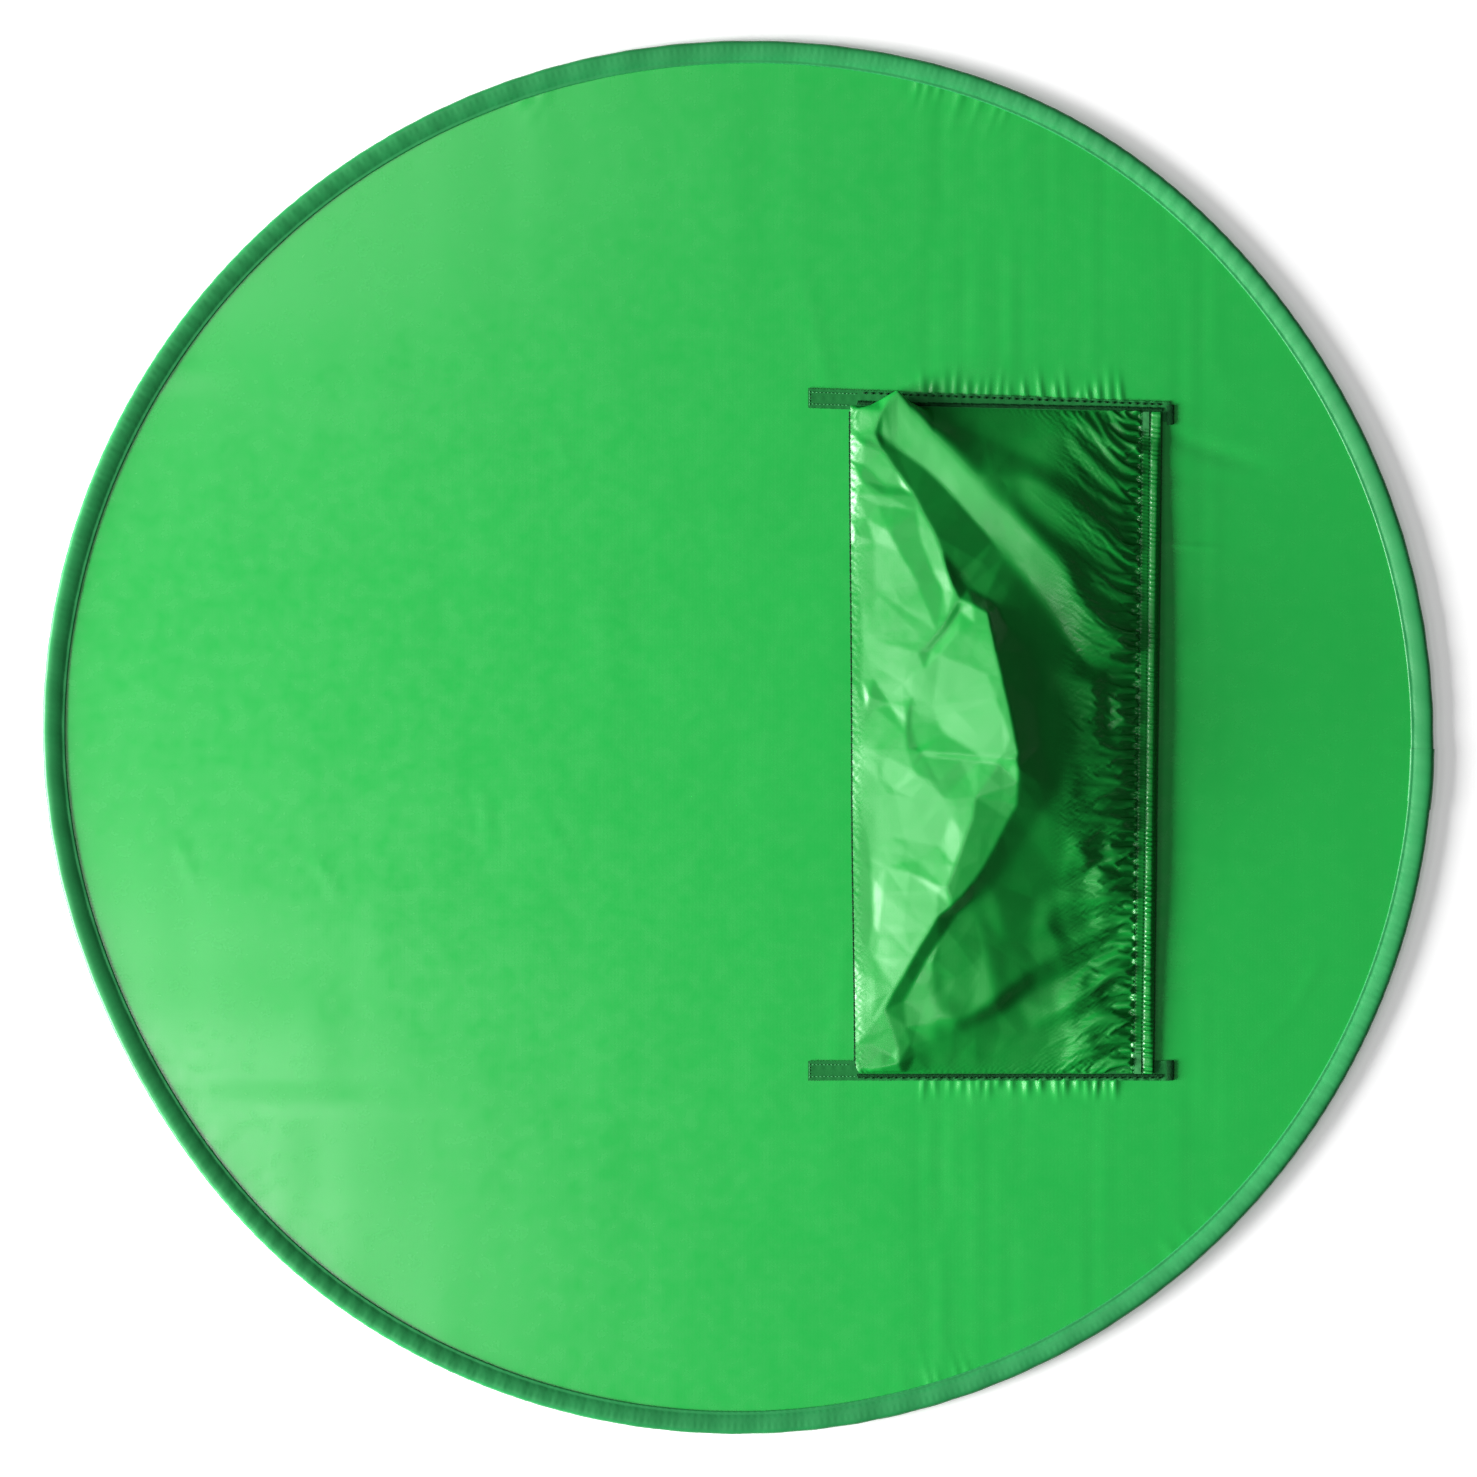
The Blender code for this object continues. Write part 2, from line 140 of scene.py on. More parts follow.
def grid_quads(rows, columns):
    index = np.arange(rows * columns).reshape(rows, columns)
    quads = np.stack([index[:-1, :-1], index[:-1, 1:], index[1:, 1:], index[1:, :-1]], axis=-1)
    return quads.reshape(-1, 4)


def grid_normals(grid):
    """Unit normals of a grid of points; columns first, then rows, gives the outward side."""
    return unit(np.cross(np.gradient(grid, axis=1), np.gradient(grid, axis=0)))


def cloth_solid(name, grid, thickness, material, normals=None):
    """A closed sheet of cloth: a grid of points as its outer face, and the same face moved inward."""
    normals = grid_normals(grid) if normals is None else normals
    rows, columns = grid.shape[:2]
    size = rows * columns
    index = np.arange(size).reshape(rows, columns)
    front = grid_quads(rows, columns)
    faces = [front, front[:, ::-1] + size]
    for edge in (index[::-1, 0], index[:, -1], index[0], index[-1, ::-1]):
        a, b = edge[:-1], edge[1:]
        faces.append(np.stack([b, a, a + size, b + size], axis=-1))
    points = np.concatenate([grid, grid - normals * thickness])
    piece = add_mesh(name, points, np.concatenate(faces).tolist(), material)
    both = np.concatenate([normals, -normals]).reshape(-1, 3)
    piece.data.normals_split_custom_set_from_vertices(both.tolist())
    return piece


def add_run(piece, along, across, height=0.0):
    """Stores where each point lies along and across its strip, for its outer and its inner face."""
    values = xyz(along, across, height).astype(np.float32).reshape(-1, 3)
    attribute = piece.data.attributes.new("run", "FLOAT_VECTOR", "POINT")
    attribute.data.foreach_set("vector", np.tile(values, (2, 1)).ravel())


# A thread that dives into the cloth at both ends: share of its length, lift and radius.
STITCH_STATIONS = (
    (-0.5, -0.9, 0.55), (-0.38, 0.05, 0.9), (0.0, 0.45, 1.0), (0.38, 0.05, 0.9), (0.5, -0.9, 0.55),
)
STITCH_SIDES = 6


def stitch_template():
    """One stitch along X, of unit length and unit radius: its points and its faces."""
    turns = [2 * math.pi * i / STITCH_SIDES for i in range(STITCH_SIDES)]
    points, faces = [], []
    for along, lift, radius in STITCH_STATIONS:
        points += [(along, math.cos(a) * radius, lift + math.sin(a) * radius) for a in turns]
    last = len(points) - STITCH_SIDES
    for a in range(0, last, STITCH_SIDES):
        b = a + STITCH_SIDES
        for i in range(STITCH_SIDES):
            j = (i + 1) % STITCH_SIDES
            faces.append((a + i, a + j, b + j, b + i))
    faces.append(tuple(range(STITCH_SIDES))[::-1])
    faces.append(tuple(range(last, len(points))))
    return np.array(points), faces


STITCH_POINTS, STITCH_FACES = stitch_template()


def stitches(name, starts, ends, radius, material, up=1.0):
    """A row of stitches, one from each start to its end, on top of the cloth or below it."""
    along = ends - starts
    side = unit(np.cross((0.0, 0.0, up), along))
    lift = unit(np.cross(along, side))
    forward, aside, above = (STITCH_POINTS[:, k : k + 1] for k in range(3))
    points = (starts + ends)[:, None] / 2 + along[:, None] * forward
    points = points + side[:, None] * aside * radius + lift[:, None] * above * radius
    size = len(STITCH_POINTS)
    faces = [tuple(n * size + i for i in face) for n in range(len(starts)) for face in STITCH_FACES]
    return add_mesh(name, points, faces, material)


# Kinds of stitches: length, gap and radius of the thread.
RIM_STITCH = (0.0031, 0.0007, 0.00034)
HEM_STITCH = (0.0026, 0.0009, 0.00034)
TAPE_STITCH = (0.0026, 0.0010, 0.00034)
# Big dark stitches of the gathered row: real stitching, set at the pitch of the shaded gaps between the
# screen's puckers to paint that shade.
GATHERED_STITCH_AND_SHADE = (0.0046, 0.0031, 0.0011)
END_STITCH = (0.0024, 0.0008, 0.00036)
# The closed-end seam: a thick, almost gapless dark thread that is the real seam and also paints the groove's
# shade.
CLOSED_STITCH_AND_SHADE = (0.0060, 0.0001, 0.0010)


def stitch_row(name, path, kind, material, up=1.0):
    """Stitches of one kind along a line of points, as evenly spaced as they fit."""
    length, gap, radius = kind
    steps = np.linalg.norm(np.diff(path, axis=0), axis=1)
    distance = np.concatenate([[0.0], np.cumsum(steps)])
    count = max(1, int(distance[-1] / (length + gap)))
    pitch = distance[-1] / count
    first = (np.arange(count) + 0.5) * pitch - (pitch - gap) / 2

    def at(places):
        return np.stack([np.interp(places, distance, path[:, k]) for k in range(3)], axis=1)

    return stitches(name, at(first), at(first + (pitch - gap)), radius, material, up)


def fit(piece, node, half=None):
    """Puts a piece in the place of a CAD node, which it hides: on the disc, or as one half of the pocket's
    ply.

    A piece on the disc is hung on the disc's body; a half only has its place baked in where it stands.
    """
    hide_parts(node)
    if half is None:
        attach(piece, "disc")
        return
    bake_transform(piece)


# ---- curves and noise ----


def smoothstep(values, low, high):
    t = np.clip((np.asarray(values, float) - low) / (high - low), 0.0, 1.0)
    return t * t * (3.0 - 2.0 * t)


def bell(values, width):
    return np.exp(-((values / width) ** 2))


def cubic(a, b, c, d, t):
    """Cubic interpolation from b to c at a share t of the way; a and d are their other neighbours."""
    square = (2 * a - 5 * b + 4 * c - d) * t**2
    return 0.5 * (2 * b + (c - a) * t + square + (3 * b - a - 3 * c + d) * t**3)


def smooth_noise(shape, cells, seed):
    """Smooth noise from -1 to 1 on a grid of that shape, with about that many cells on each side."""
    coarse = np.random.default_rng(seed).uniform(-1.0, 1.0, (cells[0] + 4, cells[1] + 4))

    def spread(values, count, span):
        place = np.linspace(1.0, 1.0 + span, count)
        index = np.floor(place).astype(int)
        return cubic(*(values[index + k] for k in (-1, 0, 1, 2)), (place - index)[:, None])

    tall = spread(coarse, shape[0], cells[0])
    return spread(tall.T, shape[1], cells[1]).T


# ---- materials ----


class Nodes:
    """Builds a material's nodes with few words."""

    def __init__(self, name):
        self.material = bpy.data.materials.new(name)
        self.material.use_nodes = True
        self.tree = self.material.node_tree

    def fill(self, node, inputs):
        """Sets a node's inputs, and links those whose value is another node's output."""
        for key, value in inputs.items():
            if isinstance(value, bpy.types.NodeSocket):
                self.tree.links.new(value, node.inputs[key])
            else:
                node.inputs[key].default_value = value

    def add(self, kind, inputs, output, **settings):
        node = self.tree.nodes.new(kind)
        for key, value in settings.items():
            setattr(node, key, value)
        self.fill(node, inputs)
        return node.outputs[output]

    def place(self, attribute=None):
        if attribute:
            return self.add("ShaderNodeAttribute", {}, "Vector", attribute_name=attribute)
        return self.add("ShaderNodeTexCoord", {}, "Object")

    def scaled(self, vector, scale):
        return self.add("ShaderNodeMapping", {"Vector": vector, "Scale": scale}, "Vector")

    def noise(self, vector, scale, detail=3.0, roughness=0.55):
        inputs = {"Vector": vector, "Scale": scale, "Detail": detail, "Roughness": roughness}
        return self.add("ShaderNodeTexNoise", inputs, "Fac")

    def wave(self, vector, scale, axis):
        inputs = {"Vector": vector, "Scale": scale}
        return self.add("ShaderNodeTexWave", inputs, "Fac", bands_direction=axis, wave_profile="SIN")

    def math(self, operation, first, second):
        return self.add("ShaderNodeMath", {0: first, 1: second}, 0, operation=operation)

    def spread(self, noise, low, high):
        """Stretches the middle part of a noise, where its values lie, from low to high."""
        inputs = {"Value": noise, "From Min": 0.3, "From Max": 0.7, "To Min": low, "To Max": high}
        return self.add("ShaderNodeMapRange", inputs, "Result")

    def mix(self, factor, first, second):
        node = self.tree.nodes.new("ShaderNodeMix")
        node.data_type = "RGBA"
        colour_a, colour_b = [s for s in node.inputs if s.type == "RGBA"]
        self.tree.links.new(factor, node.inputs["Factor"])
        colour_a.default_value = (*first, 1.0)
        colour_b.default_value = (*second, 1.0)
        return next(s for s in node.outputs if s.type == "RGBA")

    def bump(self, height, distance):
        inputs = {"Height": height, "Strength": 1.0, "Distance": distance}
        return self.add("ShaderNodeBump", inputs, "Normal")

    def shader(self, **values):
        """Sets the shader's own inputs, and returns the finished material."""
        named = {key.replace("_", " "): value for key, value in values.items()}
        self.fill(self.tree.nodes["Principled BSDF"], named)
        return self.material


def shade(colour, factor):
    return tuple(min(1.0, c * factor) for c in colour)


def cloth(name, colour, roughness, thread, relief, patch, specular=0.5, place=None):
    """Woven cloth: crossed threads at the given pitch, with slow changes of colour and gloss."""
    n = Nodes(name)
    where = n.place(place)
    slow = n.noise(where, 9.0, 4.0)
    colours = n.mix(n.spread(slow, 0.0, 1.0), shade(colour, 1.0 - patch), shade(colour, 1.0 + patch))
    weave = n.math("MULTIPLY", n.wave(where, 0.05 / thread, "X"), n.wave(where, 0.05 / thread, "Y"))
    fine = n.noise(where, 420.0, 2.0)
    grain = n.math("ADD", weave, n.math("MULTIPLY", fine, 0.6))
    gloss = n.spread(n.noise(where, 60.0, 3.0), roughness - 0.04, roughness + 0.05)
    normal = n.bump(grain, relief)
    return n.shader(Base_Color=colours, Roughness=gloss, Normal=normal, Specular_IOR_Level=specular)


SCREEN_GREEN = (0.016, 0.430, 0.066)
BINDING_GREEN = (0.018, 0.250, 0.068)
TAPE_GREEN = (0.009, 0.170, 0.034)
POCKET_GREEN = (0.004, 0.216, 0.027)
ELASTIC_GREEN = (0.03, 0.28, 0.07)
# The darkest thread is the real colour of the bar tacks, and also serves as painted shade in the seam
# grooves beside the tapes and along the closed end.
DARK_THREAD_AND_SHADE = (0.003, 0.062, 0.013)
LIGHT_THREAD = (0.040, 0.300, 0.095)
EDGE_THREAD = (0.006, 0.085, 0.022)
STEEL_GREY = (0.42, 0.43, 0.45)
RUBBED_GREY = (0.36, 0.34, 0.33)

# Each cloth: colour, roughness, thread pitch, relief, share by which its colour varies.
screen_material = cloth("screen_satin", SCREEN_GREEN, 0.245, 0.0006, 0.00001, 0.01, specular=1.0)
pocket_material = cloth("pocket_taffeta", POCKET_GREEN, 0.34, 0.0005, 0.00001, 0.03, specular=0.48)
binding_material = cloth("binding_satin", BINDING_GREEN, 0.38, 0.0011, 0.00006, 0.10, 0.4, "run")
tape_material = cloth("tape_weave", TAPE_GREEN, 0.62, 0.0016, 0.00012, 0.12, 0.2, "run")
elastic_material = cloth("elastic_knit", ELASTIC_GREEN, 0.8, 0.0014, 0.0002, 0.1, 0.5, "run")


def thread_material(name, colour, roughness=0.55, specular=0.5):
    """Twisted thread: fine slanting plies, and a little colour change from stitch to stitch."""
    n = Nodes(name)
    where = n.place()
    slow = n.noise(where, 160.0, 2.0)
    colours = n.mix(n.spread(slow, 0.0, 1.0), shade(colour, 0.75), shade(colour, 1.3))
    twist = n.wave(n.scaled(where, (1.0, 1.3, 1.0)), 900.0, "DIAGONAL")
    normal = n.bump(twist, 0.00008)
    return n.shader(Base_Color=colours, Roughness=roughness, Normal=normal, Specular_IOR_Level=specular)


# Thread for the bar tacks, and painted shade in the seam grooves.
dark_thread_and_shade = thread_material("dark_thread_and_shade", DARK_THREAD_AND_SHADE, roughness=0.75, specular=0.15)
edge_thread = thread_material("edge_thread", EDGE_THREAD)
light_thread = thread_material("light_thread", LIGHT_THREAD)


def steel_material():
    """Tempered spring steel: fine grain along the band, with rubbed patches."""
    n = Nodes("spring_steel_finish")
    where = n.place()
    grain = n.noise(n.scaled(where, (6.0, 6.0, 900.0)), 4.0, 5.0, 0.7)
    patches = n.noise(where, 30.0, 4.0)
    colours = n.mix(n.spread(patches, 0.0, 1.0), STEEL_GREY, RUBBED_GREY)
    rough = n.spread(grain, 0.22, 0.42)
    return n.shader(Base_Color=colours, Metallic=1.0, Roughness=rough, Normal=n.bump(grain, 0.00002))


# ---- camera, light and floor ----

CAMERA_HEIGHT = 6.0
FIELD = 1.5089
CAMERA_PLACE = (0.0010, -0.0005)
SENSOR = 36.0
WORLD_STRENGTH = 0.04
FLOOR_Z = -0.0007
FLOOR_REACH = 14.0
FLOOR_GLOW = 0.3


def softbox(name, azimuth, elevation, distance, size, watts):
    """A soft light in the direction azimuth (from +X towards +Y), aimed at the disc's centre."""
    data = bpy.data.lights.new(name, "AREA")
    data.shape = "RECTANGLE"
    data.size, data.size_y = size
    data.energy = watts
    lamp = bpy.data.objects.new(name, data)
    a, e = math.radians(azimuth), math.radians(elevation)
    direction = Vector((math.cos(a) * math.cos(e), math.sin(a) * math.cos(e), math.sin(e)))
    lamp.location = direction * distance
    lamp.rotation_euler = direction.to_track_quat("Z", "Y").to_euler()
    bpy.context.scene.collection.objects.link(lamp)


def set_camera():
    scene = bpy.context.scene
    data = bpy.data.cameras.new("camera")
    data.sensor_width = SENSOR
    data.lens = SENSOR * (CAMERA_HEIGHT - MID_Z) / FIELD
    data.clip_end = 50.0
    camera = bpy.data.objects.new("camera", data)
    camera.location = (*CAMERA_PLACE, CAMERA_HEIGHT)
    scene.collection.objects.link(camera)
    scene.camera = camera
    scene.view_settings.view_transform = "Standard"


def set_stage():
    world = bpy.data.worlds.new("studio")
    world.use_nodes = True
    background = world.node_tree.nodes["Background"]
    background.inputs["Color"].default_value = (1.0, 1.0, 1.0, 1.0)
    background.inputs["Strength"].default_value = WORLD_STRENGTH
    bpy.context.scene.world = world

    softbox("key", azimuth=191.0, elevation=14.8, distance=7.6, size=(4.6, 4.0), watts=2450.0)
    softbox("fold_glow", azimuth=193.0, elevation=49.0, distance=4.4, size=(0.9, 0.9), watts=21.0)
    softbox("top_left_glow", azimuth=128.0, elevation=67.0, distance=4.33, size=(1.0, 1.0), watts=11.5)
    softbox("low_left_glow", azimuth=217.0, elevation=68.4, distance=4.30, size=(0.9, 0.9), watts=20.0)

    n = Nodes("floor_paint")
    colours = n.mix(n.noise(n.place(), 3.0), (0.90, 0.90, 0.90), (0.93, 0.93, 0.93))
    white = (1.0, 1.0, 1.0, 1.0)
    paint = n.shader(Base_Color=colours, Roughness=0.9, Emission_Color=white, Emission_Strength=FLOOR_GLOW)
    corners = [(x * FLOOR_REACH, y * FLOOR_REACH, 0.0) for x, y in ((-1, -1), (1, -1), (1, 1), (-1, 1))]
    floor = add_mesh("floor", corners, [(0, 1, 2, 3)], paint)
    floor.location.z = FLOOR_Z


set_camera()
set_stage()


# ---- rim ----

BINDING_WIDTH = 0.0222
BINDING_AROUND = 0.050
BINDING_PLY = 0.0005
LAP_START = math.radians(-6.4)
LAP_END = math.radians(-0.9)
LAP_SLANT = math.radians(1.1)
BUTT = math.radians(-4.0)
BUTT_GAP = 0.0004


def rounded(points, times=2):
    """Cuts the corners of an open line of points, which keeps its ends."""
    points = np.asarray(points, float)
    for _ in range(times):
        a, b = points[:-1], points[1:]
        cut = np.stack([a * 0.75 + b * 0.25, a * 0.25 + b * 0.75], axis=1).reshape(-1, 2)
        points = np.concatenate([points[:1], cut, points[-1:]])
    return points


def binding_profile(grow=0.0):
    """Across the binding, from the back lip over the hoop to the front lip: (inset, height)."""
    seam, top, low = 0.0014, 0.0056, -0.0051
    line = rounded([
        (BINDING_WIDTH, seam - 0.0006), (BINDING_WIDTH - 0.0004, seam), (0.0196, seam + 0.0002),
        (0.0186, seam + 0.0005), (0.0158, top - 0.0024), (0.0118, top - 0.0011), (0.0060, top),
        (0.0022, top - 0.0002), (0.0006, top - 0.0016), (0.0, 0.0022), (0.0, -0.0016),
        (0.0012, low + 0.0012), (0.0035, low), (0.0062, low + 0.0006), (0.0150, -seam - 0.0010),
        (0.0196, -seam - 0.0002),
        (BINDING_WIDTH - 0.0004, -seam), (BINDING_WIDTH, -seam + 0.0006),
    ])[::-1]
    along = np.gradient(line, axis=0)
    return line - unit(np.stack([along[:, 1], -along[:, 0]], axis=1)) * grow


def rim_points(angles, inset, height, puff=0.0):
    """Points at an inset from the rim's outer edge and a height over its middle."""
    radius = rim_radius(angles) - inset + puff
    return xyz(radius * np.cos(angles), radius * np.sin(angles), MID_Z + height)


# Creases of the binding: pitch, slant and height.
BINDING_CREASES = ((0.047, 0.020, 0.00022), (0.019, -0.012, 0.00014), (0.0088, 0.008, 0.00007))


def binding_wrinkles(angles, across):
    """Low slanting creases in the binding, which fade towards its sewn lips."""
    arc = angles[:, None] * BINDING_RADIUS
    height = np.zeros((len(angles), len(across)))
    rng = np.random.default_rng(SEED)
    for pitch, slant, size in BINDING_CREASES:
        phase = rng.uniform(0, 6.28)
        place = arc + slant * across * 1.7
        ripple = np.sin(2 * np.pi * place / pitch + phase + 2.0 * np.sin(place * 9.0))
        gate = 0.5 + 0.5 * np.sin(place * 5.3 + phase * 2.0)
        height += size * ripple * gate
    return height * (smoothstep(across, 0.0, 0.25) * smoothstep(1.0 - across, 0.0, 0.25))


def build_binding():
    angles = np.linspace(BUTT + BUTT_GAP, BUTT + 2 * math.pi - BUTT_GAP, 1500)
    profile = binding_profile()
    across = np.linspace(0.0, 1.0, len(profile))[::-1]
    grid = rim_points(angles[:, None], profile[:, 0], profile[:, 1])
    grid = grid + grid_normals(grid) * binding_wrinkles(angles, across)[..., None]
    tape = cloth_solid("edge_binding", grid, BINDING_PLY, binding_material)
    add_run(tape, angles[:, None] * BINDING_RADIUS, across * BINDING_AROUND)
    fit(tape, "rim_binding")


def build_lap():
    """The binding's end, lapped over its start: folded straight at one end, slanting at the other."""
    inset, height = binding_profile(BINDING_PLY + 0.0003).T
    share = np.linspace(0.0, 1.0, 44)[:, None]
    across = np.linspace(0.0, 1.0, len(inset))[::-1]
    start = LAP_START + LAP_SLANT * (1.0 - across)
    angles = start + (LAP_END - start) * share
    puff = 0.0005 * np.sin(math.pi * share) + 0.0004 * smoothstep(share, 0.85, 1.0)
    height = height * (1.0 + 0.02 * np.sin(share * 17.0))
    grid = rim_points(angles, inset, height, puff * (1.0 - inset / BINDING_WIDTH))
    lap = cloth_solid("binding_lap", grid, BINDING_PLY, binding_material)
    add_run(lap, angles * BINDING_RADIUS, across * BINDING_AROUND)
    fit(lap, "binding_end_overlap")


def build_rim_stitches():
    angles = np.linspace(0.0, 2 * math.pi, 1500)
    for face, up in (("front", 1.0), ("back", -1.0)):
        path = rim_points(angles, BINDING_WIDTH - 0.0012, up * 0.00145)
        row = stitch_row(f"rim_seam_{face}", path, RIM_STITCH, edge_thread, up)
        fit(row, f"rim_stitch_{face}")


def finish_steel():
    steel = steel_material()
    for node in ("hoop_band", "hoop_splice_sleeve", "splice_rivet_1", "splice_rivet_2"):
        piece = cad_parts[node]
        piece.data.materials.clear()
        piece.data.materials.append(steel)


build_binding()
build_lap()
build_rim_stitches()
finish_steel()


# ---- screen ----

SCREEN_PLY = 0.0004
SCREEN_MARGIN = 0.0135
SCREEN_REACH = 0.725
SCREEN_STEP = 0.0066
SCREEN_TOP = MID_Z + SCREEN_PLY / 2

# Low creases in the screen: start, end, height, half width.
SCREEN_CREASES = [
    ((0.437, 0.308), (0.556, 0.272), -0.0016, 0.0075),
    ((0.437, 0.263), (0.540, 0.262), -0.0008, 0.0040),
    ((0.437, 0.196), (0.500, 0.195), 0.0011, 0.0022),
    ((0.440, 0.060), (0.560, 0.050), 0.0003, 0.0050),
    ((0.440, -0.120), (0.590, -0.135), 0.0003, 0.0060),
    ((0.440, -0.260), (0.560, -0.250), -0.0003, 0.0060),
    ((0.661, 0.069), (0.688, 0.069), 0.0003, 0.0030),
    ((0.661, 0.049), (0.688, 0.048), 0.0003, 0.0030),
    ((0.661, -0.007), (0.688, -0.008), 0.0003, 0.0030),
    ((-0.571, -0.104), (-0.549, -0.165), 0.00035, 0.0030),
    ((-0.434, -0.115), (-0.401, -0.176), 0.00035, 0.0030),
    ((-0.263, -0.053), (-0.248, -0.125), 0.00035, 0.0030),
    ((-0.197, -0.084), (-0.161, -0.135), 0.00030, 0.0030),
    ((-0.192, 0.315), (-0.161, 0.264), 0.00025, 0.0030),
    ((0.596, -0.227), (0.560, -0.290), 0.00035, 0.0040),
    ((0.560, -0.290), (0.515, -0.330), 0.00030, 0.0040),
    ((0.100, 0.330), (0.060, 0.500), 0.00025, 0.0080),
    ((0.110, -0.200), (0.095, -0.420), 0.00025, 0.0080),
]

TAPE_PUCKER_RISE = 0.0021
TAPE_PUCKERS_FROM, TAPE_PUCKERS_TO = 0.190, 0.392
RIM_PUCKER_RISE, RIM_PUCKER_WIDTH = 0.0006, 0.0026
# Where the rim's seam gathers the screen: first and last angle in degrees, number of ridges, seed.
RIM_PUCKERS = ((106.5, 109.0, 4, 21), (67.0, 76.0, 9, 22), (-76.0, -70.0, 6, 23), (-52.0, -46.0, 4, 24))

# Slight waves of the screen: height, number of cells up Y and along X, seed.
SCREEN_WAVES = ((0.00018, (26, 14), 31), (0.00010, (11, 60), 32))


def crease_height(x, y, start, end, height, half_width):
    """A low ridge or valley along a line, which fades at both ends."""
    (x0, y0), (x1, y1) = start, end
    dx, dy = x1 - x0, y1 - y0
    length = math.hypot(dx, dy)
    along = ((x - x0) * dx + (y - y0) * dy) / length
    aside = ((x - x0) * dy - (y - y0) * dx) / length
    fade = smoothstep(along, -0.15 * length, 0.2 * length)
    fade = fade * smoothstep(length - along, -0.1 * length, 0.6 * length)
    return height * fade * bell(aside, half_width)


def tape_puckers(x, y, edge_y, side, seed):
    """Short ridges that run off the sewn edge of a side tape and fade into the screen."""
    rng = np.random.default_rng(seed)
    height = np.zeros(x.shape)
    away = (y - edge_y) * side
    place = TAPE_PUCKERS_FROM
    while place < TAPE_PUCKERS_TO:
        strength = rng.uniform(0.5, 1.0) * (0.6 + 0.4 * smoothstep(place, 0.19, 0.36))
        reach = rng.uniform(0.014, 0.036) * (1.0 if side > 0 else 0.7)
        width = rng.uniform(0.0024, 0.0040)
        line = place + rng.uniform(-0.12, 0.12) * away
        fade = smoothstep(away, -0.006, 0.0) * (1.0 - smoothstep(away, 0.0, 1.5 * reach)) ** 2
        height += strength * TAPE_PUCKER_RISE * fade * bell(x - line, width)
        place += rng.uniform(0.008, 0.017)
    return height


def rim_puckers(x, y, first_deg, last_deg, count, seed):
    """A few short radial ridges where the binding's seam gathers the screen's edge."""
    rng = np.random.default_rng(seed)
    angle, radius = np.arctan2(y, x), np.hypot(x, y)
    inside = np.clip(rim_radius(angle) - BINDING_WIDTH - radius, 0, None)
    height = np.zeros(x.shape)
    for place in np.linspace(first_deg, last_deg, count):
        centre = math.radians(place + rng.uniform(-0.5, 0.5))
        aside = np.arctan2(np.sin(angle - centre), np.cos(angle - centre)) * radius
        reach = rng.uniform(0.012, 0.026)
        height += RIM_PUCKER_RISE * np.exp(-inside / reach * 1.6) * bell(aside, RIM_PUCKER_WIDTH)
    return height


def spaced(dense, fine):
    """Coordinates across the screen: fine steps inside the dense spans, coarse steps elsewhere."""
    places = [-SCREEN_REACH]
    while places[-1] < SCREEN_REACH:
        here = places[-1]
        inside = any(a - SCREEN_STEP <= here <= b for a, b in dense)
        places.append(here + (fine if inside else SCREEN_STEP))
    return np.array(places)


def screen_height(x, y):
    height = np.zeros(x.shape)
    for crease in SCREEN_CREASES:
        height += crease_height(x, y, *crease)
    upper_edge = UPPER_TAPE_EDGE + UPPER_TAPE_SLOPE * (x - TAPE_START_X)
    height += tape_puckers(x, y, upper_edge, SIGN["upper"], 11)
    height += tape_puckers(x, y, LOWER_TAPE_EDGE, SIGN["lower"], 12)
    for puckers in RIM_PUCKERS:
        height += rim_puckers(x, y, *puckers)
    for size, cells, seed in SCREEN_WAVES:
        height += size * smooth_noise(x.shape, cells, seed)
    return height


def build_screen():
    x = spaced([(0.185, 0.400), (0.430, 0.500)], 0.0024)
    y = spaced([(0.340, 0.385), (-0.385, -0.345), (0.190, 0.205)], 0.0026)
    gx, gy = np.meshgrid(x, y)
    radius = np.hypot(gx, gy)
    limit = rim_radius(np.arctan2(gy, gx)) - SCREEN_MARGIN
    outside = radius > limit
    gz = np.where(radius < limit - 0.002, SCREEN_TOP + screen_height(gx, gy), SCREEN_TOP)
    scale = np.where(outside, limit / np.maximum(radius, 1e-6), 1.0)
    quads = grid_quads(len(y), len(x))
    kept = quads[(~outside.ravel()[quads]).any(axis=1)]
    used, faces = np.unique(kept, return_inverse=True)
    points = xyz(gx * scale, gy * scale, gz).reshape(-1, 3)[used]
    screen = add_mesh("backdrop_screen", points, faces.reshape(-1, 4).tolist(), screen_material)
    ply = screen.modifiers.new("ply", "SOLIDIFY")
    ply.thickness = SCREEN_PLY
    ply.offset = -1.0
    fit(screen, "screen_fabric")


build_screen()


# ---- pocket: the front ply as a height over its seams ----

